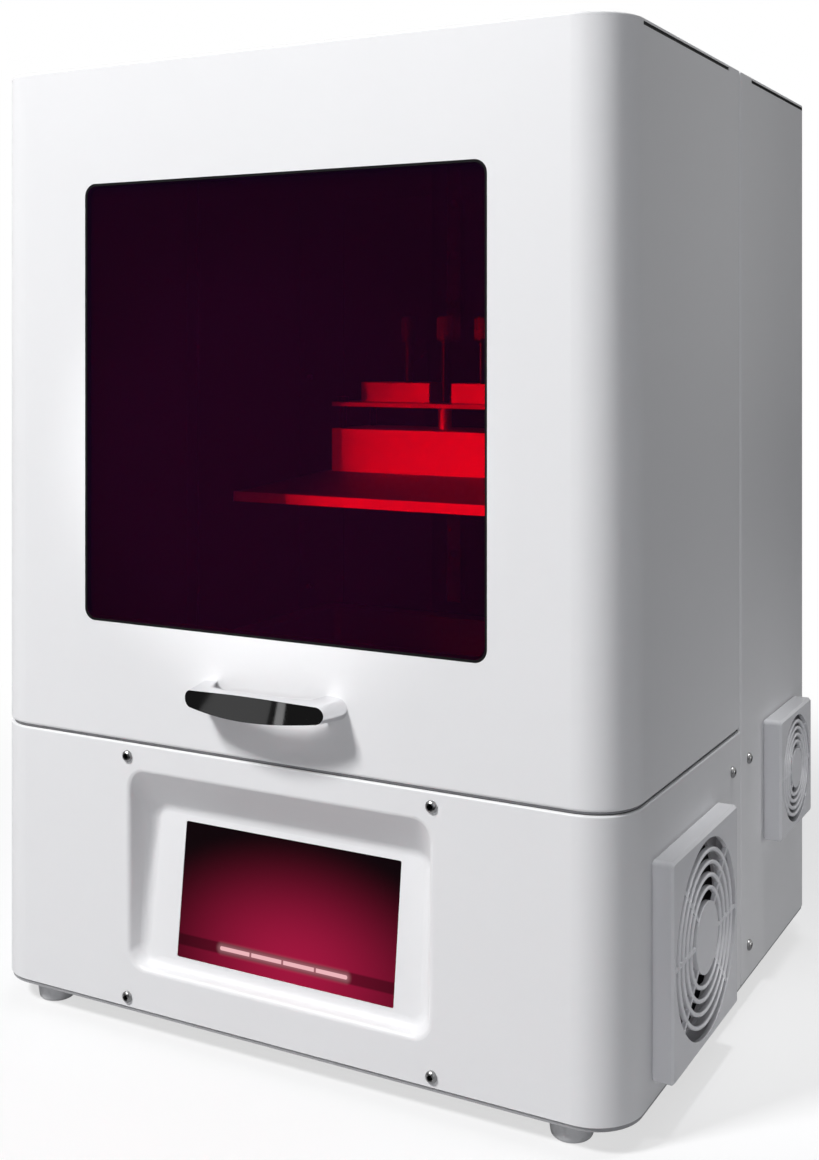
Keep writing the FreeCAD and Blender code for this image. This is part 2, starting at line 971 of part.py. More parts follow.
def power_inlet():
    # Flanged module in the rear panel: mains socket below, seat for the rocker above.
    z = floor_top + inlet_above_floor
    x = inlet_x
    body = front_prism(x, z, inlet_width, inlet_height, bend_radius, case_depth - inlet_depth, case_depth)
    flange = front_prism(
        x,
        z,
        inlet_width + 2 * inlet_flange,
        inlet_height + 2 * inlet_flange,
        bend_radius,
        case_depth,
        case_depth + inlet_flange_thickness,
    )
    module = join([body, flange])
    face = case_depth + inlet_flange_thickness
    socket_z = z - inlet_height / 4
    socket = front_prism(x, socket_z, socket_width, socket_height, bend_radius, face - socket_depth, face)
    module = module.cut(socket)
    seat = block(
        x - rocker_width / 2 - fit_gap,
        x + rocker_width / 2 + fit_gap,
        face - rocker_depth - 2 * fit_gap - rocker_dish,
        face,
        rocker_middle() - rocker_height / 2 - 2 * rocker_dish,
        rocker_middle() + rocker_height / 2 + 2 * rocker_dish,
    )
    module = module.cut(seat)
    half = rocker_width / 2 + 2 * fit_gap
    pin = rod_x(face - rocker_depth / 2, rocker_middle(), rocker_pin_radius, x - half, x + half)
    return join([module, pin])


def rocker_middle():
    return floor_top + inlet_above_floor + inlet_height / 4


def power_rocker():
    # Tipped to one side at rest: two faces meet in a shallow valley over the pin.
    face = case_depth + inlet_flange_thickness
    middle = rocker_middle()
    half = rocker_height / 2
    points = (
        (face - rocker_depth, -rocker_foot_height / 2),
        (face, -half),
        (face + rocker_reach, -half),
        (face + rocker_reach - rocker_dish, 0),
        (face + rocker_reach - rocker_dish, half),
        (face, half),
        (face - rocker_depth, rocker_foot_height / 2),
    )
    x0 = inlet_x - rocker_width / 2
    corners = [vec(x0, y, middle + z) for y, z in points]
    face_shape = Part.Face(Part.makePolygon(corners + corners[:1]))
    rocker = face_shape.extrude(vec(rocker_width, 0, 0))
    bore = rod_x(face - rocker_depth / 2, middle, rocker_pin_radius + running_gap, x0, x0 + rocker_width)
    return rocker.cut(bore)


def power_supply():
    x0 = -inner_half + supply_from_side
    y1 = back_inside - supply_from_back
    box = block(x0, x0 + supply_width, y1 - supply_length, y1, floor_top, floor_top + supply_height)
    terminal = block(
        x0 + sheet,
        x0 + supply_width - sheet,
        y1 - chip_size,
        y1,
        floor_top + supply_height / 2,
        floor_top + supply_height,
    )
    return box.cut(terminal)


def main_board_top():
    return floor_top + main_board_lift + board_thickness


def port_places():
    for index in range(ports):
        x = main_board_x + port_spacing * (index + 1) - port_width / 2
        yield x, main_board_top()


def main_board():
    x0 = main_board_x
    x1 = x0 + main_board_width
    y1 = back_inside - fit_gap
    y0 = y1 - main_board_depth
    board = block(x0, x1, y0, y1, floor_top + main_board_lift, main_board_top())
    pieces = [board]
    inset = 2 * standoff_radius
    for x in (x0 + inset, x1 - inset):
        for y in (y0 + inset, y1 - inset):
            pieces.append(rod_z(x, y, standoff_radius, floor_top, floor_top + main_board_lift))
    for x, z in port_places():
        end = case_depth + port_reach
        half = port_width / 2
        pieces.append(block(x - half, x + half, end - port_depth, end, z, z + port_height))
    for index in range(chips):
        x = x0 + (index + 1) * main_board_width / (chips + 1)
        half = chip_size / 2
        y = (y0 + y1) / 2
        low = main_board_top()
        pieces.append(block(x - half, x + half, y - half, y + half, low, low + chip_height))
    return join(pieces)


# Fans


def fan_corners(y, z, pitch):
    for side in (-1, 1):
        for end in (-1, 1):
            yield y + side * pitch / 2, z + end * pitch / 2


def guard_ring(y, z, radius, back, front):
    # One ring of the guard: square behind and round in front, like bent wire.
    half = guard_ring_width / 2
    middle = front - half
    ring = rod_x(y, z, radius + half, back, middle).cut(rod_x(y, z, radius - half, back, middle))
    return join([ring, Part.makeTorus(radius, half, vec(middle, y, z), x_axis)])


def fan_cover(size, pitch, hub, y, z):
    # Moulded square cover with a ring guard in its face and bosses for the fan's screws.
    side = size + 2 * fan_cover_margin
    outside = half_width + fan_cover_reach
    foot_top = half_width + fan_cover_foot
    cover = side_prism(y, z, side, side, fan_cover_corner, foot_top, outside)
    cover = cover.makeChamfer(fan_cover_bevel, edges_on_plane(cover, "X", outside))
    foot_side = side - 2 * fan_cover_foot_inset
    foot_corner = fan_cover_corner - fan_cover_foot_inset
    cover = join([cover, side_prism(y, z, foot_side, foot_side, foot_corner, half_width, foot_top)])
    hollow = side - 2 * fan_cover_wall
    face_back = outside - fan_cover_face
    cover = cover.cut(side_prism(y, z, hollow, hollow, fan_cover_corner, half_width, face_back))
    opening = size / 2 - fan_rim
    cover = cover.cut(rod_x(y, z, opening, half_width, outside))
    pieces = [cover, rod_x(y, z, hub, face_back, outside)]
    pitch_r = (opening - hub) / (guard_rings + 1)
    for index in range(guard_rings):
        pieces.append(guard_ring(y, z, hub + (index + 1) * pitch_r, face_back, outside))
    for degrees in guard_spoke_angles:
        spoke = block(
            face_back,
            outside - guard_ring_width / 4,
            y - opening - cut_past,
            y + opening + cut_past,
            z - guard_spoke_width / 2,
            z + guard_spoke_width / 2,
        )
        spoke.rotate(vec(0, y, z), x_axis, degrees)
        pieces.append(spoke)
    for boss_y, boss_z in fan_corners(y, z, pitch):
        pieces.append(rod_x(boss_y, boss_z, 2 * screw_radius, half_width, face_back))
    cover = join(pieces)
    for boss_y, boss_z in fan_corners(y, z, pitch):
        cover = cover.cut(rod_x(boss_y, boss_z, screw_hole, half_width, half_width + screw_length))
    return cover


def fan_frame(size, pitch, hub, y, z):
    inside = inner_half - fan_depth
    frame = side_prism(y, z, size, size, fan_corner_radius, inside, inner_half)
    bore = size / 2 - fan_rim / 2
    frame = frame.cut(rod_x(y, z, bore, inside, inner_half))
    pieces = [frame, rod_x(y, z, hub, inside, inside + fan_strut_depth)]
    for degrees in fan_strut_angles:
        strut = block(
            inside,
            inside + fan_strut_depth,
            y - bore - cut_past,
            y + bore + cut_past,
            z - fan_strut_width / 2,
            z + fan_strut_width / 2,
        )
        strut.rotate(vec(0, y, z), x_axis, degrees)
        pieces.append(strut)
    pieces.append(rod_x(y, z, fan_shaft_radius, inside, inner_half - 2 * fan_tip_gap))
    frame = join(pieces)
    for hole_y, hole_z in fan_corners(y, z, pitch):
        frame = frame.cut(rod_x(hole_y, hole_z, screw_hole, inside, inner_half))
    return frame


def blade_section(radius, chord, pitch_angle):
    # Thin rectangle across the blade at one radius, drawn on the plane that the radius crosses.
    wire = rounded_wire(chord, fan_blade_thickness, 0)
    wire.rotate(zero, z_axis, pitch_angle)
    wire.translate(vec(0, 0, radius))
    return wire


def fan_rotor(size, hub, y, z):
    inside = inner_half - fan_depth + fan_strut_depth + fan_tip_gap / 2
    outside = inner_half - fan_tip_gap
    tip = size / 2 - fan_rim / 2 - fan_tip_gap
    chord = outside - inside - fan_blade_trim
    pieces = [rod_x(y, z, hub, inside, outside)]
    root = blade_section(hub - fan_blade_root_sink, chord, fan_blade_root_angle)
    end = blade_section(tip, chord, fan_blade_tip_angle)
    blade = Part.makeLoft([root, end], True, True)
    for index in range(fan_blades):
        copy = blade.copy()
        copy.rotate(zero, x_axis, index * 360 / fan_blades)
        copy.translate(vec((inside + outside) / 2, y, z))
        pieces.append(copy)
    rotor = join(pieces)
    rotor = rotor.common(rod_x(y, z, tip, inside, outside))
    return rotor.cut(rod_x(y, z, fan_shaft_radius + running_gap, inside, outside))


def fan_screws():
    screws = []
    for y, z in fan_corners(front_fan_from_front, front_fan_z, front_fan_pitch):
        screws.append(fan_screw(y, z))
    for y, z in fan_corners(rear_fan_y, rear_fan_z, rear_fan_pitch):
        screws.append(fan_screw(y, z))
    return Part.makeCompound(screws)


def fan_screw(y, z):
    # From inside through the frame's corner and the wall into the cover's boss.
    inside = inner_half - fan_depth
    head = rod_x(y, z, screw_head_radius, inside - screw_head_height, inside)
    return join([head, rod_x(y, z, screw_radius, inside, half_width + screw_length - cut_past)])


# Hood


def hood_shell():
    outer = case_prism(0, hood_back, hood_bottom, wall_top, bend_radius)
    inner = case_prism(sheet, hood_back - sheet, hood_bottom, wall_top, bend_radius - sheet)
    shell = outer.cut(inner)
    shell = shell.makeFillet(hood_edge_round, outside_edges(shell, hood_bottom))
    mouth_half = half_width - return_flange
    shell = shell.cut(block(-mouth_half, mouth_half, hood_depth / 2, case_depth, hood_bottom, wall_top))
    shell = shell.cut(window_shape(0, window_radius, -cut_past, 2 * sheet))
    shell = shell.cut(top_slot(corner_radius, hood_back - top_slot_end_gap, 0))
    for x in (-handle_screw_x(), handle_screw_x()):
        shell = shell.cut(rod_y(x, handle_z(), screw_hole, -cut_past, 2 * sheet))
    return shell


def hood_top():
    plate = case_prism(0, hood_back, wall_top, case_top, bend_radius)
    plate = plate.makeFillet(edge_round, edges_on_plane(plate, "Z", case_top))
    outer = case_prism(sheet + fit_gap, hood_back - 2 * sheet, wall_top - top_flange_depth, wall_top)
    inner = case_prism(2 * sheet + fit_gap, hood_depth, wall_top - top_flange_depth, wall_top)
    return join([plate, outer.cut(inner)])


def hood_seals():
    strips = top_slot(corner_radius, hood_back - top_slot_end_gap, top_slot_setback)
    low = deck_top + hood_seal_gap
    high = low + hood_seal_height
    outer = case_prism(sheet, hood_back - sheet, low, high, bend_radius - sheet)
    inner = case_prism(sheet + hood_seal_width, hood_depth, low, high)
    return Part.makeCompound([outer.cut(inner)] + strips.Solids)


def window_shape(inset, radius, y0, y1):
    return front_prism(
        0, window_middle, window_width - 2 * inset, window_height - 2 * inset, radius, y0, y1
    )


def window_pane():
    inset = gasket_width + fit_gap
    return window_shape(inset, window_radius - gasket_width, pane_setback, pane_setback + pane_thickness)


def window_gasket():
    # Rubber strip round the pane: a thin bead in the opening and a lip behind the sheet.
    pane_back = pane_setback + pane_thickness
    bead = window_shape(fit_gap / 2, window_radius, pane_setback / 2, sheet)
    cover = window_shape(-gasket_cover, window_radius + gasket_cover, sheet, pane_back + gasket_lip)
    strip = join([bead, cover])
    seat = gasket_width + fit_gap
    strip = strip.cut(window_shape(seat, window_radius - gasket_width, 0, pane_back))
    sight = gasket_width + gasket_lip
    return strip.cut(window_shape(sight, window_radius - gasket_width, 0, pane_back + 2 * gasket_lip))


def handle_z():
    return seam_z + handle_rise


def handle_screw_x():
    return handle_length / 2 - handle_post_width / 2


def bow_face(half, post, reach, bow):
    # Half of a bow in plan, from one post's foot round to the other, closed along the door.
    shoulder = reach - bow
    left = vec(-half, 0, 0)
    left_shoulder = vec(-half + post, -shoulder, 0)
    right_shoulder = vec(half - post, -shoulder, 0)
    right = vec(half, 0, 0)
    bar = Part.Arc(left_shoulder, vec(0, -reach, 0), right_shoulder).toShape()
    edges = [
        Part.makeLine(left, left_shoulder),
        bar,
        Part.makeLine(right_shoulder, right),
        Part.makeLine(right, left),
    ]
    return Part.Face(Part.Wire(edges))


def handle_outline(length, height, tip_height, y):
    # Front view of the handle at one depth: long arcs above and below, short arcs round the ends.
    half = length / 2
    top = height / 2
    tip = tip_height / 2
    shoulder = half - tip
    edges = [
        Part.Arc(vec(shoulder, y, tip), vec(0, y, top), vec(-shoulder, y, tip)).toShape(),
        Part.Arc(vec(-shoulder, y, tip), vec(-half, y, 0), vec(-shoulder, y, -tip)).toShape(),
        Part.Arc(vec(-shoulder, y, -tip), vec(0, y, -top), vec(shoulder, y, -tip)).toShape(),
        Part.Arc(vec(shoulder, y, -tip), vec(half, y, 0), vec(shoulder, y, tip)).toShape(),
    ]
    return Part.Wire(edges)


def handle():
    # Bow pull: the plan gives the bow and its posts, and a tapered front view gives the lens-shaped
    # front face, which is more pointed than the posts behind it.
    half = handle_length / 2
    solid = bow_face(half, handle_post_draw, handle_reach, handle_bow)
    inner_half_length = half - handle_post_width
    gap = bow_face(inner_half_length, handle_post_draw, handle_reach - handle_thickness, handle_bow)
    plan = solid.cut(gap).extrude(vec(0, 0, 2 * handle_height))
    plan.translate(vec(0, 0, -handle_height))
    tip = handle_front_tip_height
    front = handle_outline(handle_front_length, handle_front_height, tip, -handle_reach)
    back = handle_outline(handle_length, handle_height, handle_tip_height, 0)
    bow = plan.common(Part.makeLoft([front, back], True, True))
    for x in (-handle_screw_x(), handle_screw_x()):
        bow = bow.cut(rod_y(x, 0, screw_hole, -screw_length, 0))
    bow.translate(vec(0, 0, handle_z()))
    return bow


def handle_screws():
    screws = []
    for x in (-handle_screw_x(), handle_screw_x()):
        screws.append(case_screw(vec(x, sheet, handle_z()), y_axis))
    return Part.makeCompound(screws)


# Hinges


def knuckle_bounds(index):
    step = hinge_length / hinge_knuckles
    return -hinge_length / 2 + index * step, -hinge_length / 2 + (index + 1) * step


def hinge_leaf(towards, own_parity):
    # One leaf: a plate on the top sheet with every second knuckle. towards is -1 for the hood.
    near = hinge_y + towards * seam_gap / 2
    far = hinge_y + towards * hinge_leaf_width
    half = hinge_length / 2
    top = case_top + hinge_leaf_thickness
    pieces = [block(-half, half, min(near, far), max(near, far), case_top, top)]
    own = []
    for index in range(hinge_knuckles):
        low, high = knuckle_bounds(index)
        if index % 2 == own_parity:
            shift = fit_gap / 2
            own.append(rod_x(hinge_y, hinge_z, knuckle_radius, low + shift, high - shift))
        else:
            other = knuckle_radius + fit_gap
            room = rod_x(hinge_y, hinge_z, other, low - fit_gap / 2, high + fit_gap / 2)
            pieces[0] = pieces[0].cut(room)
    leaf = join(pieces + own)
    leaf = leaf.cut(rod_x(hinge_y, hinge_z, pin_radius + running_gap, -half - cut_past, half + cut_past))
    return leaf


def hinge_pair(shape):
    pair = []
    for x in (-hinge_from_middle, hinge_from_middle):
        copy = shape.copy()
        copy.translate(vec(x, 0, 0))
        pair.append(copy)
    return Part.makeCompound(pair)


def hinge_pins():
    half = hinge_length / 2
    pin = rod_x(hinge_y, hinge_z, pin_radius, -half, half)
    left = rod_x(hinge_y, hinge_z, knuckle_radius, -half - pin_head, -half)
    right = rod_x(hinge_y, hinge_z, knuckle_radius, half, half + pin_head)
    return hinge_pair(join([pin, left, right]))


# Vat


def vat_prism(width, depth, radius, z0, z1):
    face = Part.Face(rounded_wire(width, depth, radius))
    face.translate(vec(0, platform_from_front, z0))
    return face.extrude(vec(0, 0, z1 - z0))


def film_ring():
    ring = vat_prism(vat_outer_width, vat_outer_depth, vat_corner, deck_top, film_bottom)
    inner_x = vat_inner_width - 2 * film_ring_cover
    inner_y = vat_inner_depth - 2 * film_ring_cover
    return ring.cut(vat_prism(inner_x, inner_y, vat_corner / 2, deck_top, film_bottom))


def vat_film():
    inset = vat_wall / 2
    return vat_prism(
        vat_outer_width - inset, vat_outer_depth - inset, vat_corner, film_bottom, vat_bottom
    )


def vat_frame():
    top = vat_bottom + vat_height
    frame = vat_prism(vat_outer_width, vat_outer_depth, vat_corner, vat_bottom, top)
    frame = frame.cut(vat_prism(vat_inner_width, vat_inner_depth, vat_corner / 2, vat_bottom, top))
    ear_half = vat_ear_width / 2
    pieces = [frame]
    for side in (-1, 1):
        inner = side * (vat_outer_width / 2 - cut_past)
        outer = side * (vat_outer_width / 2 + vat_ear_length)
        pieces.append(
            block(
                min(inner, outer),
                max(inner, outer),
                platform_from_front - ear_half,
                platform_from_front + ear_half,
                vat_bottom,
                vat_bottom + vat_ear_thickness,
            )
        )
    frame = join(pieces)
    spout = rod_z(-vat_inner_width / 2, plate_front - vat_clearance, vat_wall, top - vat_wall / 2, top)
    frame = frame.cut(spout)
    for x in (-vat_screw_x, vat_screw_x):
        hole = rod_z(x, platform_from_front, vat_screw_radius + running_gap, vat_bottom, top)
        frame = frame.cut(hole)
    return frame


def vat_screw(x):
    y = platform_from_front
    seat = vat_bottom + vat_ear_thickness + running_gap
    knob = rod_z(x, y, vat_screw_knob_radius, seat, seat + vat_screw_knob_height)
    for index in range(vat_screw_grips):
        angle = 2 * math.pi * index / vat_screw_grips
        groove_x = x + vat_screw_knob_radius * math.cos(angle)
        groove_y = y + vat_screw_knob_radius * math.sin(angle)
        half = vat_screw_grip / 2
        groove = block(
            groove_x - half,
            groove_x + half,
            groove_y - half,
            groove_y + half,
            seat + vat_screw_grip,
            seat + vat_screw_knob_height,
        )
        groove.rotate(vec(groove_x, groove_y, seat), z_axis, math.degrees(angle) + 45)
        knob = knob.cut(groove)
    return join([knob, rod_z(x, y, vat_screw_radius, deck_bottom, seat)])


# Build platform


def build_plate():
    half = plate_width / 2
    flange = block(-half, half, plate_front, plate_back, plate_bottom, plate_top)
    low = rounded_wire(plate_width - 2 * plate_roof_inset, plate_depth - 2 * plate_roof_inset, 0)
    low.translate(vec(0, platform_from_front, plate_top))
    high = rounded_wire(block_width + 2 * plate_roof_inset, block_depth + 2 * plate_roof_inset, 0)
    high.translate(vec(0, block_middle, block_bottom))
    return join([flange, Part.makeLoft([low, high], True, True)])


def platform_block():
    half = block_width / 2
    y0 = block_middle - block_depth / 2
    body = block(-half, half, y0, y0 + block_depth, block_bottom, block_top)
    stud = rod_z(0, knob_y, stud_radius, block_top, arm_bottom)
    solid = join([body, stud])
    bore = knob_stem_radius + running_gap
    solid = solid.cut(rod_z(0, knob_y, bore, arm_bottom - stud_length / 2, arm_bottom))
    for x, y in level_bolt_places():
        hole = rod_z(x, y, level_bolt_radius + running_gap, block_top - level_bolt_reach, block_top)
        solid = solid.cut(hole)
    return solid


def level_bolt_places():
    x = block_width / 2 - level_bolt_from_end
    y = block_depth / 2 - level_bolt_from_end
    for side in (-1, 1):
        for end in (-1, 1):
            yield side * x, block_middle + end * y


def levelling_bolts():
    bolts = []
    for x, y in level_bolt_places():
        shank = rod_z(x, y, level_bolt_radius, block_top - level_bolt_reach, arm_top)
        head = rod_z(x, y, level_bolt_head_radius, arm_top, arm_top + level_bolt_head)
        bolts.append(join([shank, head]))
    return Part.makeCompound(bolts)


def platform_arm():
    half = block_width / 2
    y0 = block_middle - block_depth / 2
    shelf = block(-half, half, y0, lift_plate_front, arm_bottom, arm_top)
    back = block(
        -lift_plate_width / 2,
        lift_plate_width / 2,
        lift_plate_front - arm_thickness,
        lift_plate_front,
        arm_bottom - arm_plate_drop,
        arm_top + arm_gusset_height,
    )
    pieces = [shelf, back]
    for side in (-1, 1):
        x = side * (lift_plate_width / 2 - arm_thickness / 2) - arm_thickness / 2
        rear = lift_plate_front - arm_thickness
        corners = [
            vec(x, rear, arm_top),
            vec(x, rear - arm_gusset_length, arm_top),
            vec(x, rear - arm_gusset_length, arm_top + arm_thickness),
            vec(x, rear, arm_top + arm_gusset_height),
        ]
        gusset = Part.Face(Part.makePolygon(corners + corners[:1]))
        pieces.append(gusset.extrude(vec(arm_thickness, 0, 0)))
    arm = join(pieces)
    for x, y in level_bolt_places():
        arm = arm.cut(rod_z(x, y, level_bolt_radius + running_gap, arm_bottom, arm_top))
    return arm.cut(rod_z(0, knob_y, knob_stem_radius + running_gap, arm_bottom, arm_top))


def clamp_blocks():
    blocks = []
    for side in (-1, 1):
        near = side * clamp_gap / 2
        far = side * (clamp_gap / 2 + clamp_width)
        back = clamp_front + clamp_depth
        top = arm_top + clamp_height
        body = block(min(near, far), max(near, far), clamp_front, back, arm_top, top)
        seat = arm_top + clamp_height / 2
        hole = rod_z(side * knob_spacing, knob_y, knob_stem_radius + running_gap, seat, top)
        blocks.append(body.cut(hole))
    return Part.makeCompound(blocks)


def platform_knob(x, foot):
    # Thumb knob on a stem that turns in its seat.
    top = arm_top + knob_top
    knob = rod_z(x, knob_y, knob_radius, top - knob_height, top)
    rims = edges_on_plane(knob, "Z", top) + edges_on_plane(knob, "Z", top - knob_height)
    knob = knob.makeChamfer(knob_bevel, rims)
    return join([knob, rod_z(x, knob_y, knob_stem_radius, foot, top - knob_height)])


def centre_knob():
    # Its stem passes through the arm into the platform's stud.
    return platform_knob(0, arm_bottom - stud_length / 2 + running_gap)


def side_knob(side):
    return platform_knob(side * knob_spacing, arm_top + clamp_height / 2 + running_gap)


# Lift


def z_column():
    half = column_width / 2
    tower = block(-half, half, column_front, column_back, deck_top, column_top)
    slot_half = column_slot_width / 2
    tower = tower.cut(block(-slot_half, slot_half, column_front, slot_back, deck_top, column_top))
    cell = block(
        slot_half + column_cell_wall,
        half - column_cell_wall,
        column_front + column_cell_wall,
        column_back - column_cell_wall,
        deck_top,
        column_top,
    )
    return tower.cut(mirror_pair(cell))


def z_rails():
    x = rail_from_middle
    rail = block(
        x - rail_width / 2,
        x + rail_width / 2,
        rail_front,
        column_front,
        deck_top + rail_start,
        column_top - rail_end_gap,
    )
    return mirror_pair(rail)


def z_carriages():
    x = rail_from_middle
    half = carriage_width / 2
    back = column_front - carriage_lift
    low = lift_middle - carriage_length / 2
    high = lift_middle + carriage_length / 2
    body = block(x - half, x + half, carriage_front, back, low, high)
    groove_half = rail_width / 2 + running_gap
    groove = block(x - groove_half, x + groove_half, rail_front - running_gap, back, low, high)
    return mirror_pair(body.cut(groove))


def carriage_plate():
    half = lift_plate_width / 2
    low = lift_middle - lift_plate_height / 2
    return block(-half, half, lift_plate_front, carriage_front, low, low + lift_plate_height)


def lead_nut():
    half = nut_block_width / 2
    low = lift_middle - nut_block_height / 2
    body = block(-half, half, carriage_front, screw_y, low, low + nut_block_height)
    barrel = rod_z(0, screw_y, nut_radius, lift_middle - nut_length / 2, lift_middle + nut_length / 2)
    nut = join([body, barrel])
    bore = lead_screw_radius + running_gap
    return nut.cut(rod_z(0, screw_y, bore, low - nut_length, low + 2 * nut_length))


def lead_screw():
    low = deck_top + lead_screw_start
    return rod_z(0, screw_y, lead_screw_radius, low, column_top - lead_screw_end_gap)


def z_bearings():
    half = bearing_width / 2
    lows = (deck_top + bearing_start, column_top - bearing_end_gap - bearing_height)
    blocks = []
    for low in lows:
        body = block(-half, half, column_front, slot_back, low, low + bearing_height)
        bore = rod_z(0, screw_y, lead_screw_radius + running_gap, low, low + bearing_height)
        blocks.append(body.cut(bore))
    return Part.makeCompound(blocks)


def shaft_coupling():
    low = deck_top + coupling_start
    body = rod_z(0, screw_y, coupling_radius, low, low + coupling_length)
    screw_end = deck_top + lead_screw_start
    body = body.cut(rod_z(0, screw_y, lead_screw_radius, screw_end, low + coupling_length))
    shaft = rod_z(0, screw_y, motor_shaft_radius, deck_bottom - motor_shaft_depth + running_gap, low)
    return join([body, shaft])


def z_motor():
    half = motor_size / 2
    top = deck_bottom
    body = block(-half, half, screw_y - half, screw_y + half, top - motor_length, top)
    upright = [edge for edge in body.Edges if edge.BoundBox.ZLength > motor_length / 2]
    body = body.makeChamfer(motor_bevel, upright)
    pilot = rod_z(0, screw_y, motor_pilot_radius, top, top + motor_pilot_height)
    motor = join([body, pilot])
    bore = rod_z(
        0, screw_y, motor_shaft_radius + running_gap, top - motor_shaft_depth, top + motor_pilot_height
    )
    return motor.cut(bore)


def main():
    os.makedirs("parts", exist_ok=True)
    front_fan = (front_fan_from_front, front_fan_z)
    rear_fan = (rear_fan_y, rear_fan_z)
    save("feet", feet())
    save("base_plate", base_plate())
    save("base_cover", base_cover())
    save("case_screws", case_screws())
    save("seam_brackets", seam_brackets())
    save("touch_display", touch_display())
    save("deck_plate", deck_plate())
    save("deck_posts", deck_posts())
    save("exposure_screen", exposure_screen())
    save("light_housing", light_housing())
    save("light_lens", light_lens())
    save("led_board", led_board())
    save("heat_sink", heat_sink())
    save("rear_body", rear_body())
    save("rear_top", rear_top())
    save("rear_top_seals", rear_top_seals())
    save("rear_panel", rear_panel())
    save("power_inlet", power_inlet())
    save("power_rocker", power_rocker())
    save("power_supply", power_supply())
    save("main_board", main_board())
    save("front_fan_cover", fan_cover(front_fan_size, front_fan_pitch, front_fan_hub, *front_fan))
    save("front_fan_frame", fan_frame(front_fan_size, front_fan_pitch, front_fan_hub, *front_fan))
    save("front_fan_rotor", fan_rotor(front_fan_size, front_fan_hub, *front_fan))
    save("rear_fan_cover", fan_cover(rear_fan_size, rear_fan_pitch, rear_fan_hub, *rear_fan))
    save("rear_fan_frame", fan_frame(rear_fan_size, rear_fan_pitch, rear_fan_hub, *rear_fan))
    save("rear_fan_rotor", fan_rotor(rear_fan_size, rear_fan_hub, *rear_fan))
    save("fan_screws", fan_screws())
    save("hood_shell", hood_shell())
    save("hood_top", hood_top())
    save("hood_seals", hood_seals())
    save("window_pane", window_pane())
    save("window_gasket", window_gasket())
    save("handle", handle())
    save("handle_screws", handle_screws())
    save("hood_hinge_leaves", hinge_pair(hinge_leaf(-1, 1)))
    save("rear_hinge_leaves", hinge_pair(hinge_leaf(1, 0)))
    save("hinge_pins", hinge_pins())
    save("film_ring", film_ring())
    save("vat_film", vat_film())
    save("vat_frame", vat_frame())
    save("left_vat_screw", vat_screw(-vat_screw_x))
    save("right_vat_screw", vat_screw(vat_screw_x))
    save("build_plate", build_plate())
    save("platform_block", platform_block())
    save("levelling_bolts", levelling_bolts())
    save("platform_arm", platform_arm())
    save("clamp_blocks", clamp_blocks())
    save("centre_knob", centre_knob())
    save("left_knob", side_knob(-1))
    save("right_knob", side_knob(1))
    save("z_column", z_column())
    save("z_rails", z_rails())
    save("z_carriages", z_carriages())
    save("carriage_plate", carriage_plate())
    save("lead_nut", lead_nut())
    save("lead_screw", lead_screw())
    save("z_bearings", z_bearings())
    save("shaft_coupling", shaft_coupling())
    save("z_motor", z_motor())


main()
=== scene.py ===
# %% [markdown]
# # A resin printer, lit and finished in Blender
# The solids of the printer were modelled in CAD and packed as a fixed frame: every piece is already
# at its real size and place, in metres. This lesson adds what CAD leaves out: the finishes, the
# fine fasteners and threads, the picture on the display, the light and the camera.

# %% Load the frame
import json
import math
import bmesh
import bpy
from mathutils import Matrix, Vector


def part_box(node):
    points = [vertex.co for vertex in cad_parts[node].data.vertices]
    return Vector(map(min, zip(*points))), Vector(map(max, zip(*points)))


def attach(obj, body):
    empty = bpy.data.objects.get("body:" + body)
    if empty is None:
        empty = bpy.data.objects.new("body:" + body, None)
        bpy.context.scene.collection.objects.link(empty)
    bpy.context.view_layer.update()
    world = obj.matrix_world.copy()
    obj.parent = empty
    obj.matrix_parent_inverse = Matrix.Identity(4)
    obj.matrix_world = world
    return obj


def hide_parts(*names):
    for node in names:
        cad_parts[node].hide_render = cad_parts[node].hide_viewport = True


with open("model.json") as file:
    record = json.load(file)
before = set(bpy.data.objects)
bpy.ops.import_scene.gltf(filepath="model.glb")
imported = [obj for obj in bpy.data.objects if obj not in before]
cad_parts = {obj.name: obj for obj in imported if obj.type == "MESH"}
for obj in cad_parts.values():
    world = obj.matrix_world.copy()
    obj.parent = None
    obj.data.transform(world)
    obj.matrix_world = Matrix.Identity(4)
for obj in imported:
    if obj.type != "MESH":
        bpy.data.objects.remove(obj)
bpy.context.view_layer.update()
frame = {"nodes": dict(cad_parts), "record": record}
slot_of = {row["node"]: row["material_slot"] for row in frame["record"]["subparts"]}

# %% [markdown]
# ## The camera
# The photograph shows upright lines as truly upright, which is what a shift lens does: the camera
# stays level and the picture is slid down instead of the camera being tipped. So the camera here is
# level too, turned to the left, and shift_y lowers the frame.

# %% Camera
camera_place = (0.49501, -0.92252, 0.43301)
camera_turn = math.radians(28.63)
camera_lens = 46.607
camera_drop = -0.2035
camera_sight = 50.0
sensor_width = 36.0

camera = bpy.data.objects.new("camera", bpy.data.cameras.new("camera"))
camera.location = camera_place
camera.rotation_euler = (math.radians(90), 0, camera_turn)
camera.data.lens = camera_lens
camera.data.sensor_width = sensor_width
camera.data.shift_y = camera_drop
camera.data.clip_end = camera_sight
bpy.context.scene.collection.objects.link(camera)
bpy.context.scene.camera = camera
bpy.context.scene.view_settings.view_transform = "Standard"
print("camera at", camera_place)

# %% [markdown]
# ## Helpers for node trees
# Materials, lights and Geometry Nodes are all node trees, so a few small helpers keep them readable. One
# adds a node and fills its sockets, by value or by a link. The others do arithmetic, mix two colours,
# read Object coordinates and split a vector into its X, Y and Z.

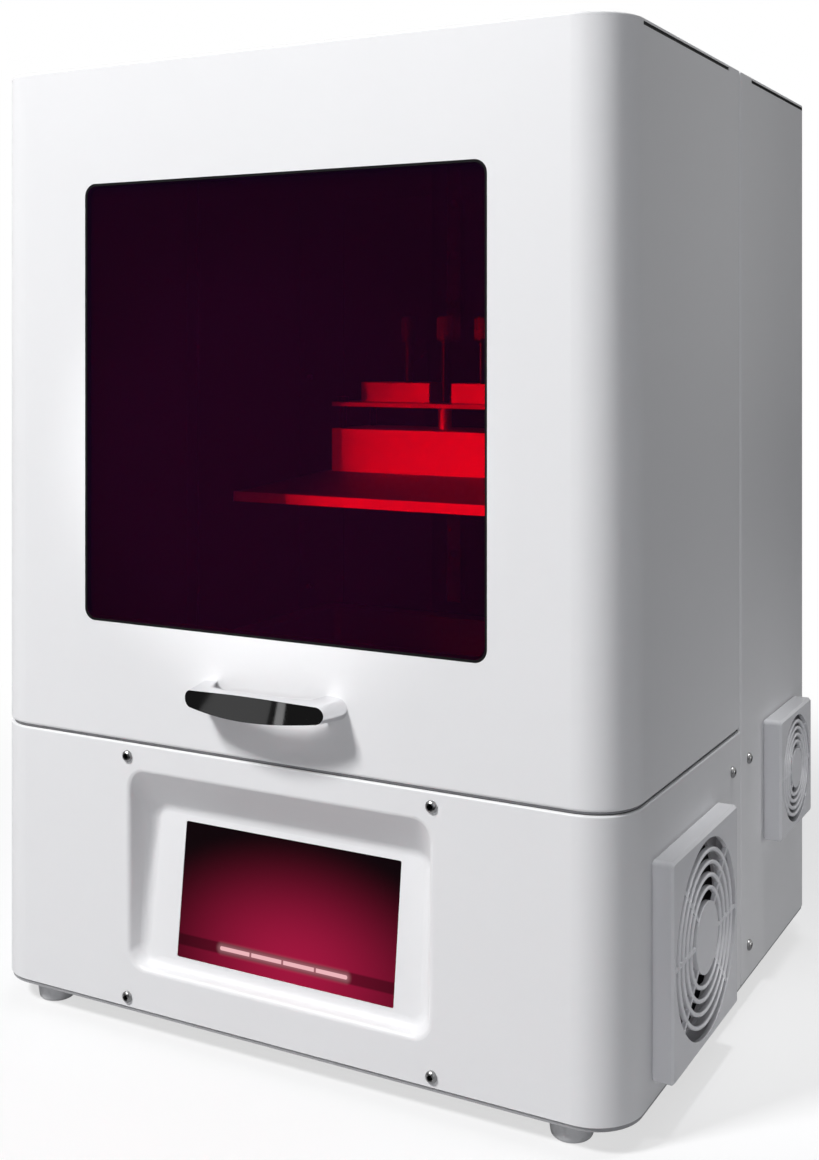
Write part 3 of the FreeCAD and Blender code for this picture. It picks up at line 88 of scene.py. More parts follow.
# %% Node helpers
def add(tree, kind, sockets=None, **properties):
    made = tree.nodes.new(kind)
    for name, value in properties.items():
        setattr(made, name, value)
    for key, value in (sockets or {}).items():
        if isinstance(value, bpy.types.NodeSocket):
            tree.links.new(value, made.inputs[key])
        else:
            made.inputs[key].default_value = value
    return made


def calc(tree, operation, first, second=0.0, third=0.0):
    return add(tree, "ShaderNodeMath", {0: first, 1: second, 2: third}, operation=operation).outputs[0]


def blend(tree, share, first, second):
    sockets = {"Factor": share, "A": first, "B": second}
    return add(tree, "ShaderNodeMix", sockets, data_type="RGBA").outputs["Result"]


def object_coords(tree):
    return add(tree, "ShaderNodeTexCoord").outputs["Object"]


def split(tree, vector):
    return add(tree, "ShaderNodeSeparateXYZ", {0: vector}).outputs


print("helpers ready")

# %% [markdown]
# ## Background and floor
# The photograph has a plain white ground. A lamp bright enough to make a floor pure white would bleach
# the printer as well, so the world and the outer floor are white only to rays that look at them, straight
# or through glass. Close to the printer the floor is partly an ordinary pale surface, which keeps its
# soft shadow. Light that has bounced off a dull surface sees a dim studio and a grey floor instead, and
# a mirror sees a studio of a brightness in between.

# %% World
ambient_level = 0.03
mirror_level = 0.6
white = (1.0, 1.0, 1.0, 1.0)


def looking_rays(tree):
    # 1 for a ray from the eye, straight or through glass, that has met no dull surface, and 0 for others.
    rays = add(tree, "ShaderNodeLightPath").outputs
    seen = calc(tree, "MAXIMUM", rays["Is Camera Ray"], rays["Is Transmission Ray"])
    return calc(tree, "MULTIPLY", seen, calc(tree, "LESS_THAN", rays["Diffuse Depth"], 0.5))


world = bpy.data.worlds.new("studio")
bpy.context.scene.world = world
world.use_nodes = True
tree = world.node_tree
tree.nodes.clear()
mirror = calc(tree, "MULTIPLY", add(tree, "ShaderNodeLightPath").outputs["Is Glossy Ray"], mirror_level)
level = calc(tree, "MAXIMUM", looking_rays(tree), calc(tree, "MAXIMUM", mirror, ambient_level))
studio = add(tree, "ShaderNodeBackground", {"Color": white, "Strength": level})
add(tree, "ShaderNodeOutputWorld", {"Surface": studio.outputs[0]})
print("world ambient", ambient_level)

# %% Floor
floor_half = 12.0
floor_shade = (0.88, 0.88, 0.89, 1.0)
shadow_reach = 0.45
shadow_fade = 0.55
shadow_lift = 0.65
floor_bounce = 0.05
bounce_shade = (0.45, 0.45, 0.46, 1.0)


def flat_sheet(name, corners):
    mesh = bpy.data.meshes.new(name)
    mesh.from_pydata(corners, [], [tuple(range(len(corners)))])
    sheet = bpy.data.objects.new(name, mesh)
    bpy.context.scene.collection.objects.link(sheet)
    return sheet


def lying(left, right, front, back, height):
    return [(left, front, height), (right, front, height), (right, back, height), (left, back, height)]


def empty_material(name):
    material = bpy.data.materials.new(name)
    material.use_nodes = True
    material.node_tree.nodes.clear()
    return material, material.node_tree


def floor_material():
    material, tree = empty_material("pale_floor")
    away = add(tree, "ShaderNodeVectorMath", {0: object_coords(tree)}, operation="LENGTH").outputs["Value"]
    far = add(
        tree,
        "ShaderNodeMapRange",
        {
            "Value": away,
            "From Min": shadow_reach,
            "From Max": shadow_reach + shadow_fade,
            "To Min": shadow_lift,
        },
        interpolation_type="SMOOTHSTEP",
    ).outputs[0]
    seen = looking_rays(tree)
    pale = add(tree, "ShaderNodeBsdfDiffuse", {"Color": blend(tree, seen, bounce_shade, floor_shade)})
    glow = add(tree, "ShaderNodeEmission", {"Color": white, "Strength": 1.0})
    fade = calc(tree, "MAXIMUM", calc(tree, "MULTIPLY", seen, far), floor_bounce)
    mixed = add(tree, "ShaderNodeMixShader", {0: fade, 1: pale.outputs[0], 2: glow.outputs[0]})
    add(tree, "ShaderNodeOutputMaterial", {"Surface": mixed.outputs[0]})
    return material


floor = flat_sheet("floor", lying(-floor_half, floor_half, -floor_half, floor_half, 0))
floor.data.materials.append(floor_material())
print("floor", 2 * floor_half, "m wide")

# %% [markdown]
# ## Lamps
# The shadow under the handle falls down and to the right, so the main softbox stands high in front, to
# the left. Three large weak lamps fill the side with the fans, the tops and the back. The one at the back
# is hidden from mirrors, because the window of the open hood would reflect all of it. Two small spots
# help on the right, one low by the floor and one above the fan covers. A narrow spot, as from a lamp with
# a long tube on it, shines nearly level through the window on to the build platform.
#
# A dark panel sweeps down in front of the printer, as photographers use, with two cards on it. The camera
# doesn't see it and it stops no light: it is there for reflections. The panel keeps the window deep, and
# the cards put soft bands into the dark face of the polished handle.

# %% Lamps
softbox_place = (-1.05, -1.90, 2.36)
softbox_size = 0.5
softbox_power = 92.0
weak_lamps = {
    "side_fill": ((1.5, -2.3, 1.0), 11.5),
    "sky_fill": ((1.0, 0.6, 3.0), 8.0),
    "back_fill": ((-1.3, 2.3, 1.9), 25.0),
}
fill_size = 1.6
fill_colour = (0.93, 0.95, 1.0)
spot_power = 135.0
spot_reach = 3.0
spot_left = 0.40
spot_rise = 0.10
spot_width = math.radians(5.0)
case_middle = Vector((0.0, -0.178, 0.33))
spot_gate = Vector((-0.02, -0.178, 0.36))
spot_blend = 0.5
spot_softness = 0.03
side_spots = {
    "low_spot": ((1.4, 0.7, 0.15), (0.22, 0.13, 0.02), 12.0, math.radians(24.0)),
    "fan_spot": ((0.42, 0.0, 2.2), (0.25, 0.01, 0.15), 68.0, math.radians(12.0)),
}
side_spot_blend = 1.0
side_spot_softness = 0.1


def lamp(name, kind, power, place, target):
    made = bpy.data.objects.new(name, bpy.data.lights.new(name, kind))
    made.data.energy = power
    made.location = place
    made.rotation_euler = (Vector(target) - Vector(place)).to_track_quat("-Z", "Y").to_euler()
    bpy.context.scene.collection.objects.link(made)
    return made


def spot_lamp(name, power, place, target, width, blend_share, softness):
    made = lamp(name, "SPOT", power, place, target)
    made.data.spot_size = width
    made.data.spot_blend = blend_share
    made.data.shadow_soft_size = softness


softbox = lamp("softbox", "AREA", softbox_power, softbox_place, case_middle)
softbox.data.size = softbox_size
for name, (place, power) in weak_lamps.items():
    fill = lamp(name, "AREA", power, place, case_middle)
    fill.data.size = fill_size
    fill.data.color = fill_colour
    fill.visible_glossy = name != "back_fill"
spot_place = spot_gate + Vector((-spot_left, -1.0, spot_rise)) * spot_reach
spot_lamp("window_spot", spot_power, spot_place, spot_gate, spot_width, spot_blend, spot_softness)
for name, (place, target, power, width) in side_spots.items():
    spot_lamp(name, power, place, target, width, side_spot_blend, side_spot_softness)
print("lamps:", softbox.name, "window_spot", *side_spots, *weak_lamps)

# %% Dark panel and cards
panel_left = -40.0
panel_right = 40.0
panel_front = -2.4
panel_foot = -0.3
panel_top = 2.3
panel_lift = 0.002
panel_glow = 0.010
card_lift = 0.004
grey_card = (-0.82, -0.32, -1.15, -0.60)
grey_card_glow = 0.065
pale_card = (-0.268, -0.200, -1.15, -0.95)
pale_card_glow = 0.22


def reflected_sheet(name, corners, level):
    sheet = flat_sheet(name, corners)
    material, tree = empty_material(name)
    glow = add(tree, "ShaderNodeEmission", {"Color": white, "Strength": level})
    add(tree, "ShaderNodeOutputMaterial", {"Surface": glow.outputs[0]})
    sheet.data.materials.append(material)
    sheet.visible_camera = False
    sheet.visible_diffuse = False
    sheet.visible_shadow = False


def upright(left, right, front, low, high):
    return [(left, front, low), (right, front, low), (right, front, high), (left, front, high)]


panel_corners = upright(panel_left, panel_right, panel_front, panel_lift, panel_top)
sweep_corners = lying(panel_left, panel_right, panel_front, panel_foot, panel_lift)
reflected_sheet("dark_panel", panel_corners, panel_glow)
reflected_sheet("dark_sweep", sweep_corners, panel_glow)
reflected_sheet("grey_card", lying(*grey_card, card_lift), grey_card_glow)
reflected_sheet("pale_card", lying(*pale_card, card_lift), pale_card_glow)
print("panel", panel_right - panel_left, "m wide, with two cards")

# %% [markdown]
# ## Effects that many finishes share
# No real surface has one even colour. Three small node groups carry what the finishes have in common:
# a slow drift of tone and gloss, a fine grain, and long lines from drawing, grinding or turning. All
# read Object coordinates in metres, so a size means the same on every piece.

# %% Shared node groups
def make_group(name, inputs, outputs):
    group = bpy.data.node_groups.new(name, "ShaderNodeTree")
    for label, kind, value in inputs:
        group.interface.new_socket(label, in_out="INPUT", socket_type=kind).default_value = value
    for label, kind in outputs:
        group.interface.new_socket(label, in_out="OUTPUT", socket_type=kind)
    return group, add(group, "NodeGroupInput").outputs, add(group, "NodeGroupOutput").inputs


def slow_drift_group():
    group, given, result = make_group(
        "slow_drift",
        [
            ("Colour", "NodeSocketColor", (0.8, 0.8, 0.8, 1.0)),
            ("Tone", "NodeSocketFloat", 0.03),
            ("Roughness", "NodeSocketFloat", 0.4),
            ("Gloss", "NodeSocketFloat", 0.05),
            ("Patch", "NodeSocketFloat", 0.08),
        ],
        [("Colour", "NodeSocketColor"), ("Roughness", "NodeSocketFloat")],
    )
    scale = calc(group, "DIVIDE", 1.0, given["Patch"])
    sockets = {"Vector": object_coords(group), "Scale": scale, "Detail": 4.0}
    noise = add(group, "ShaderNodeTexNoise", sockets)
    swing = calc(group, "MULTIPLY_ADD", noise.outputs[0], 2.0, -1.0)
    factor = calc(group, "ADD", calc(group, "MULTIPLY", swing, given["Tone"]), 1.0)
    toned = add(group, "ShaderNodeVectorMath", {0: given["Colour"], "Scale": factor}, operation="SCALE")
    group.links.new(toned.outputs[0], result["Colour"])
    gloss = calc(group, "ADD", calc(group, "MULTIPLY", swing, given["Gloss"]), given["Roughness"])
    group.links.new(gloss, result["Roughness"])
    return group


def fine_grain_group():
    group, given, result = make_group(
        "fine_grain", [("Size", "NodeSocketFloat", 0.001)], [("Height", "NodeSocketFloat")]
    )
    scale = calc(group, "DIVIDE", 1.0, given["Size"])
    sockets = {"Vector": object_coords(group), "Scale": scale, "Detail": 2.0}
    noise = add(group, "ShaderNodeTexNoise", sockets)
    group.links.new(noise.outputs[0], result["Height"])
    return group


def drawn_lines_group():
    group, given, result = make_group(
        "drawn_lines",
        [("Lines", "NodeSocketVector", (2500.0, 30.0, 2500.0))],
        [("Height", "NodeSocketFloat")],
    )
    factors = {0: object_coords(group), 1: given["Lines"]}
    stretched = add(group, "ShaderNodeVectorMath", factors, operation="MULTIPLY").outputs[0]
    noise = add(group, "ShaderNodeTexNoise", {"Vector": stretched, "Scale": 1.0, "Detail": 3.0})
    group.links.new(noise.outputs[0], result["Height"])
    return group


slow_drift = slow_drift_group()
fine_grain = fine_grain_group()
drawn_lines = drawn_lines_group()


def place_group(tree, group, sockets):
    return add(tree, "ShaderNodeGroup", sockets, node_tree=group)


print("groups:", slow_drift.name, fine_grain.name, drawn_lines.name)

# %% [markdown]
# ## Building a finish
# Every finish starts the same way: a Principled shader whose colour and roughness come from the slow
# drift. Grain or lines then go into a Bump node, because marks this small would need millions of faces.
# Where part of a piece has another colour, a mask blends it in.

# %% Finish builder
def start_finish(name, colour, roughness, tone=0.03, gloss=0.05, patch=0.08):
    material = bpy.data.materials.new(name)
    material.use_nodes = True
    tree = material.node_tree
    shader = tree.nodes["Principled BSDF"]
    drift = place_group(
        tree,
        slow_drift,
        {"Colour": (*colour, 1.0), "Tone": tone, "Roughness": roughness, "Gloss": gloss, "Patch": patch},
    )
    tree.links.new(drift.outputs["Colour"], shader.inputs["Base Color"])
    tree.links.new(drift.outputs["Roughness"], shader.inputs["Roughness"])
    return material, tree, shader


def raise_marks(tree, shader, marks, depth, strength):
    sockets = {"Height": marks.outputs["Height"], "Distance": depth, "Strength": strength}
    bump = add(tree, "ShaderNodeBump", sockets)
    tree.links.new(bump.outputs[0], shader.inputs["Normal"])


def raise_grain(tree, shader, size, depth, strength):
    raise_marks(tree, shader, place_group(tree, fine_grain, {"Size": size}), depth, strength)


def raise_lines(tree, shader, lines, depth, strength):
    raise_marks(tree, shader, place_group(tree, drawn_lines, {"Lines": lines}), depth, strength)


def tint_where(material, mask, colour):
    tree = material.node_tree
    base = tree.nodes["Principled BSDF"].inputs["Base Color"]
    tree.links.new(blend(tree, mask, base.links[0].from_socket, (*colour, 1.0)), base)


def weaken_shine(material, level):
    material.node_tree.nodes["Principled BSDF"].inputs["Specular IOR Level"].default_value = level


print("finish builder ready")

# %% [markdown]
# ## Powder coat
# The case is folded sheet steel with a satin powder coat. Melted powder never lies quite flat: it has a
# fine pebbled skin, about a millimetre from bump to bump. The chamber side of the hood and the rear body
# is painted near black: painted shade, standing in for the dark inside the closed chamber. One material
# can do both, because a face that looks towards the middle of the chamber is an inner one.

# %% Powder coat finishes
pebble_size = 0.0011
pebble_depth = 0.00012
pebble_strength = 0.16
case_colour = (0.79, 0.79, 0.80)
chamber_painted_shade = (0.006, 0.006, 0.0065)
chamber_roughness = 0.95
chamber_middle = (0.0, 0.03, 0.38)
facing_margin = 0.001


def powder_coat(name, colour, roughness=0.46):
    material, tree, shader = start_finish(name, colour, roughness, tone=0.015, gloss=0.03, patch=0.12)
    raise_grain(tree, shader, pebble_size, pebble_depth, pebble_strength)
    return material


def powder_coat_with_painted_inner_shade(name, colour):
    material = powder_coat(name, colour)
    tree = material.node_tree
    coords = add(tree, "ShaderNodeTexCoord").outputs
    ends = {0: coords["Object"], 1: chamber_middle}
    outward = add(tree, "ShaderNodeVectorMath", ends, operation="SUBTRACT").outputs[0]
    pair = {0: coords["Normal"], 1: outward}
    facing = add(tree, "ShaderNodeVectorMath", pair, operation="DOT_PRODUCT").outputs["Value"]
    inner = calc(tree, "LESS_THAN", facing, -facing_margin)
    # Inner faces get painted shade: near black in place of the shade inside the chamber.
    tint_where(material, inner, chamber_painted_shade)
    roughness = tree.nodes["Principled BSDF"].inputs["Roughness"]
    satin = roughness.links[0].from_socket
    matt = calc(tree, "MULTIPLY", inner, chamber_roughness)
    tree.links.new(calc(tree, "MAXIMUM", satin, matt), roughness)
    return material


case_paint = powder_coat("case_paint", case_colour)
inner_shade_paint = powder_coat_with_painted_inner_shade("case_paint_with_painted_inner_shade", case_colour)
plate_paint = powder_coat("base_plate_paint", (0.34, 0.34, 0.35))
deck_paint = powder_coat("deck_paint", (0.016, 0.016, 0.018), 0.5)
motor_paint = powder_coat("motor_lacquer", (0.02, 0.02, 0.022), 0.35)
print("powder coats:", case_paint.name, inner_shade_paint.name, deck_paint.name)

# %% [markdown]
# ## Plastics and rubber
# Moulded plastic takes the spark-eroded skin of its steel mould, finer than powder coat. Rubber is
# rougher and soaks up light. The hood's strips are black under its top plate, but it closes on grey foam:
# one finish does both, by height.

# %% Plastics and rubber
mould_skin = 0.0006
mould_skin_depth = 0.00008
mould_skin_strength = 0.3
rubber_pore = 0.0014
rubber_pore_depth = 0.0003
rubber_pore_strength = 0.35
rubber_roughness = 0.78
seal_colour = (0.006, 0.006, 0.0065)
seal_shine = 0.15
foam_colour = (0.30, 0.30, 0.31)
foam_height = 0.4


def moulded_plastic(name, colour, roughness):
    material, tree, shader = start_finish(name, colour, roughness, tone=0.02, gloss=0.04, patch=0.05)
    raise_grain(tree, shader, mould_skin, mould_skin_depth, mould_skin_strength)
    return material


def soft_rubber(name, colour):
    material, tree, shader = start_finish(name, colour, rubber_roughness, tone=0.12, gloss=0.08, patch=0.006)
    raise_grain(tree, shader, rubber_pore, rubber_pore_depth, rubber_pore_strength)
    return material


def foam_below(name, colour, lower_colour, height):
    material = soft_rubber(name, colour)
    tree = material.node_tree
    level = split(tree, object_coords(tree))["Z"]
    tint_where(material, calc(tree, "LESS_THAN", level, height), lower_colour)
    return material


cover_plastic = moulded_plastic("fan_cover_plastic", (0.84, 0.84, 0.86), 0.2)
fan_plastic = moulded_plastic("fan_plastic", (0.022, 0.022, 0.025), 0.42)
housing_plastic = moulded_plastic("light_housing_plastic", (0.03, 0.03, 0.034), 0.55)
inlet_plastic = moulded_plastic("inlet_plastic", (0.018, 0.018, 0.02), 0.32)
rocker_plastic = moulded_plastic("rocker_plastic", (0.028, 0.028, 0.03), 0.28)
foot_rubber = soft_rubber("foot_rubber", (0.62, 0.62, 0.63))
seal_rubber = soft_rubber("seal_rubber", seal_colour)
weaken_shine(seal_rubber, seal_shine)
foam_and_seal = foam_below("foam_and_seal", seal_colour, foam_colour, foam_height)
print("plastics and rubbers:", cover_plastic.name, foot_rubber.name, foam_and_seal.name)

# %% [markdown]
# ## Metals
# Each metal shows how it was worked. Extrusions and ground rails have straight lines along them, turned
# knobs and screws have rings, and the platform is bead-blasted, which leaves an even, soft sparkle. The
# build plate's top is darker than its edges: painted shade, for the dim light on its top. The bracket that
# carries the platform is painted black, which is painted shade, apart from its thin grey shelf under the
# clamp blocks. A screw's socket fills with shade and dust, so an attribute of its mesh darkens it.

# %% Ways of working metal
along_x = (30.0, 2600.0, 2600.0)
along_y = (2600.0, 30.0, 2600.0)
along_z = (2600.0, 2600.0, 30.0)
rings_z = (60.0, 60.0, 3600.0)
blast_depth = 0.00006
blast_strength = 0.3
blast_roughness = 0.5
top_facing = 0.9
shelf_thickness = 0.003
shelf_reach = 0.6 * shelf_thickness
ring_strength = 0.15


def worked_metal(name, colour, roughness, lines, depth=0.00004, strength=0.35):
    material, tree, shader = start_finish(name, colour, roughness, tone=0.06, gloss=0.06, patch=0.03)
    shader.inputs["Metallic"].default_value = 1.0
    raise_lines(tree, shader, lines, depth, strength)
    return material


def blasted_metal(name, colour, roughness, bead=0.0007):
    material, tree, shader = start_finish(name, colour, roughness, tone=0.05, gloss=0.05, patch=0.04)
    shader.inputs["Metallic"].default_value = 1.0
    raise_grain(tree, shader, bead, blast_depth, blast_strength)
    return material


def painted_top_shade(name, edge_colour, top_shade_colour):
    # Faces that look up get the top colour: painted shade for the dim light on top, not a finish.
    material = blasted_metal(name, edge_colour, blast_roughness)
    tree = material.node_tree
    upward = split(tree, add(tree, "ShaderNodeTexCoord").outputs["Normal"])["Z"]
    tint_where(material, calc(tree, "GREATER_THAN", upward, top_facing), top_shade_colour)
    return material


def grey_shelf(name, colour, shaded_rest_colour):
    material = blasted_metal(name, colour, blast_roughness)
    tree = material.node_tree
    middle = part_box("clamp_blocks")[0].z - shelf_thickness / 2
    away = calc(tree, "SUBTRACT", split(tree, object_coords(tree))["Z"], middle)
    shaded_part = calc(tree, "GREATER_THAN", calc(tree, "ABSOLUTE", away), shelf_reach)
    # Away from the shelf the bracket gets painted shade: black in place of the dark it sits in.
    tint_where(material, shaded_part, shaded_rest_colour)
    return material


def socket_metal(name, colour, roughness, socket_colour):
    material = worked_metal(name, colour, roughness, rings_z, strength=ring_strength)
    depth = add(material.node_tree, "ShaderNodeAttribute", attribute_name="socket").outputs["Fac"]
    tint_where(material, depth, socket_colour)
    return material


print("shelf of the bracket:", shelf_thickness, "m thick")

# %% Metals
column_shine = 0.03

platform_metal = blasted_metal("blasted_aluminium", (0.78, 0.78, 0.79), blast_roughness)
# The bracket is grey metal with painted shade in black outside its shelf.
arm_metal = grey_shelf("grey_metal_with_painted_shade", (0.46, 0.46, 0.47), (0.006, 0.006, 0.0065))
clamp_metal = blasted_metal("clear_anodised_aluminium", (0.72, 0.72, 0.73), blast_roughness)
# The dark top of the build plate is painted shade.
plate_metal = painted_top_shade("aluminium_with_painted_top_shade", (0.70, 0.70, 0.71), (0.20, 0.20, 0.205))
vat_metal = blasted_metal("dark_anodised_aluminium", (0.16, 0.165, 0.18), 0.42)
column_black = powder_coat("column_black", (0.003, 0.003, 0.0033), 0.7)
weaken_shine(column_black, column_shine)
sink_metal = worked_metal("heat_sink_aluminium", (0.62, 0.63, 0.64), 0.4, along_y)
rail_metal = worked_metal("ground_steel", (0.62, 0.62, 0.63), 0.22, along_z)
knob_metal = worked_metal("black_anodised_knob", (0.04, 0.04, 0.043), 0.22, rings_z)
blackened_steel = worked_metal("blackened_steel", (0.02, 0.02, 0.022), 0.35, along_z)
screw_metal = socket_metal("nickel_plate", (0.36, 0.36, 0.36), 0.3, (0.01, 0.01, 0.01))
hinge_metal = worked_metal("hinge_steel", (0.58, 0.58, 0.58), 0.3, along_x)
bracket_metal = blasted_metal("galvanised_steel", (0.48, 0.49, 0.50), 0.45, bead=0.006)
supply_metal = worked_metal("pressed_steel", (0.52, 0.53, 0.53), 0.38, along_y)
nut_brass = worked_metal("turned_brass", (0.62, 0.42, 0.14), 0.26, rings_z)
handle_chrome = worked_metal("polished_chrome", (0.82, 0.82, 0.83), 0.06, along_x, strength=0.02)
print("metals:", platform_metal.name, arm_metal.name, screw_metal.name, handle_chrome.name)

# %% [markdown]
# ## Red window
# The window is dark red acrylic: it lets red light through to the eye and stops the blue light that
# hardens resin. A Principled shader with full transmission tints what is seen through it. Lamp light
# would stop at such a surface, so for shadow rays only it mixes in a tinted Transparent shader. The dye
# also scatters a little light, which gives the dark pane its plum haze.

# %% Window, film and lens
acrylic_colour = (0.66, 0.015, 0.08)
acrylic_shadow = (0.92, 0.05, 0.12, 1.0)
acrylic_haze = (0.40, 0.05, 0.52, 1.0)
acrylic_haze_share = 0.012
acrylic_index = 1.49
film_index = 1.34
sheet_shine = 0.3


def clear_sheet(name, colour, roughness, index, shadow):
    material, tree, shader = start_finish(name, colour, roughness, tone=0.02, gloss=0.0, patch=0.1)
    shader.inputs["Transmission Weight"].default_value = 1.0
    shader.inputs["IOR"].default_value = index
    weaken_shine(material, sheet_shine)
    lets_through = add(tree, "ShaderNodeBsdfTransparent", {"Color": shadow})
    in_shadow = add(tree, "ShaderNodeLightPath").outputs["Is Shadow Ray"]
    sockets = {0: in_shadow, 1: shader.outputs[0], 2: lets_through.outputs[0]}
    mixed = add(tree, "ShaderNodeMixShader", sockets)
    tree.links.new(mixed.outputs[0], tree.nodes["Material Output"].inputs["Surface"])
    return material


def add_haze(material, colour, share):
    tree = material.node_tree
    end = tree.nodes["Material Output"].inputs["Surface"]
    clear = end.links[0].from_socket
    haze = add(tree, "ShaderNodeBsdfDiffuse", {"Color": colour})
    mixed = add(tree, "ShaderNodeMixShader", {0: share, 1: clear, 2: haze.outputs[0]})
    tree.links.new(mixed.outputs[0], end)


window_acrylic = clear_sheet("red_acrylic", acrylic_colour, 0.0, acrylic_index, acrylic_shadow)
add_haze(window_acrylic, acrylic_haze, acrylic_haze_share)
release_film = clear_sheet("release_film", (0.86, 0.88, 0.9), 0.12, film_index, (0.8, 0.8, 0.82, 1.0))
light_lens = clear_sheet("light_lens", (0.9, 0.92, 0.94), 0.05, acrylic_index, (0.85, 0.86, 0.88, 1.0))
print("clear sheets:", window_acrylic.name, release_film.name, light_lens.name)

# %% [markdown]
# ## Display
# The touch display shows a plain crimson glow that is dark towards the top, with one plain progress bar
# in four parts low in the middle. It is painted with arithmetic on Object coordinates, so it is sharp at
# any size: u runs across the glass and v up it, both from -1 to 1. The bar lies on a dark track that runs
# right across, and a faint halo spreads from it.

# %% Display sizes and colours
display_low, display_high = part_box("touch_display")
display_border = 0.006
display_half = (display_high.x - display_low.x) / 2 - display_border
display_rise = (display_high.z - display_low.z) / 2 - display_border
display_brightness = 0.9
display_shine = 0.06
glow_bright = (0.38, 0.008, 0.050, 1.0)
glow_dark = (0.004, 0.0002, 0.001, 1.0)
glow_middle = (0.12, -0.75)
glow_narrowing = (0.60, 0.53)
bar_colour = (0.95, 0.52, 0.56, 1.0)
bar_half = 0.60
bar_height = -0.72
bar_thickness = 0.032
bar_parts = 4
bar_gap = 0.012
bar_end = bar_half - 2 * bar_gap
bar_edge = 0.8 * bar_thickness
halo_reach = 0.12
halo_share = 0.28
track_start = 2 * bar_thickness
track_stop = 3 * bar_thickness
track_share = 0.55
print("display", round(2000 * display_half), "mm wide")

# %% Display picture
def soft_edge(tree, distance, start, stop):
    return add(
        tree,
        "ShaderNodeMapRange",
        {"Value": distance, "From Min": start, "From Max": stop, "To Min": 1.0, "To Max": 0.0},
        interpolation_type="SMOOTHSTEP",
    ).outputs[0]


def crimson_glow(tree, u, v):
    across = calc(tree, "MULTIPLY", calc(tree, "SUBTRACT", u, glow_middle[0]), glow_narrowing[0])
    up = calc(tree, "MULTIPLY", calc(tree, "SUBTRACT", v, glow_middle[1]), glow_narrowing[1])
    squares = [calc(tree, "MULTIPLY", side, side) for side in (across, up)]
    glow = soft_edge(tree, calc(tree, "SQRT", calc(tree, "ADD", *squares)), 0.0, 1.0)
    return blend(tree, glow, glow_dark, glow_bright)


def progress_bar(tree, u, v, field):
    off_bar = calc(tree, "ABSOLUTE", calc(tree, "SUBTRACT", v, bar_height))
    track = calc(tree, "MULTIPLY", soft_edge(tree, off_bar, track_start, track_stop), track_share)
    tracked = blend(tree, track, field, glow_dark)
    past_end = calc(tree, "MAXIMUM", calc(tree, "SUBTRACT", calc(tree, "ABSOLUTE", u), bar_end), 0.0)
    wide = calc(tree, "POWER", calc(tree, "MULTIPLY", past_end, display_half / display_rise), 2.0)
    reach = calc(tree, "SQRT", calc(tree, "ADD", calc(tree, "POWER", off_bar, 2.0), wide))
    halo = calc(tree, "MULTIPLY", soft_edge(tree, reach, 0.0, halo_reach), halo_share)
    hazy = blend(tree, halo, tracked, bar_colour)
    bar = soft_edge(tree, reach, bar_edge, bar_thickness)
    along = calc(tree, "PINGPONG", calc(tree, "ADD", u, bar_half), bar_half / bar_parts)
    parted = calc(tree, "SUBTRACT", bar, soft_edge(tree, along, 0.5 * bar_gap, bar_gap))
    return blend(tree, calc(tree, "MAXIMUM", parted, 0.0), hazy, bar_colour)


def display_material():
    material, tree, shader = start_finish("display", (0.002, 0.002, 0.0024), 0.12, gloss=0.02)
    middle = (display_low + display_high) / 2
    spot = split(tree, object_coords(tree))
    u = calc(tree, "DIVIDE", calc(tree, "SUBTRACT", spot["X"], middle.x), display_half)
    v = calc(tree, "DIVIDE", calc(tree, "SUBTRACT", spot["Z"], middle.z), display_rise)
    shown = progress_bar(tree, u, v, crimson_glow(tree, u, v))
    tree.links.new(shown, shader.inputs["Emission Color"])
    shader.inputs["Emission Strength"].default_value = display_brightness
    weaken_shine(material, display_shine)
    return material


display_picture = display_material()
print("display picture:", display_picture.name)

# %% [markdown]
# ## Boards and the dark screen
# Circuit boards are green with a faint pattern of tracks, and the exposure screen under the vat is a
# polished dark panel. Both hide in the machine, but show when the hood is open or the case is taken apart.

# %% Board and screen finishes
board_green = (0.02, 0.12, 0.06)
board_shade = (0.015, 0.10, 0.05, 1.0)
track_green = (0.06, 0.22, 0.10, 1.0)
track_scale = 120.0
track_width = 0.03


def board_material():
    material, tree, shader = start_finish("circuit_board", board_green, 0.4)
    tracks = add(
        tree,
        "ShaderNodeTexBrick",
        {
            "Vector": object_coords(tree),
            "Color1": (*board_green, 1.0),
            "Color2": board_shade,
            "Mortar": track_green,
            "Scale": track_scale,
            "Mortar Size": track_width,
        },
    )
    tree.links.new(tracks.outputs["Color"], shader.inputs["Base Color"])
    return material


circuit_board = board_material()
dark_screen = start_finish("exposure_screen", (0.012, 0.012, 0.016), 0.12, gloss=0.03)[0]
print("boards:", circuit_board.name, dark_screen.name)

# %% [markdown]
# ## Putting finishes on the CAD pieces
# The imported record names a finish slot for every node, so one table joins slots to materials. A few nodes
# differ from their slot: those round the chamber take the powder coat with painted shade on the inner
# side, the hood's strips end in foam, and the pieces of the lift and the platform each have their own metal.

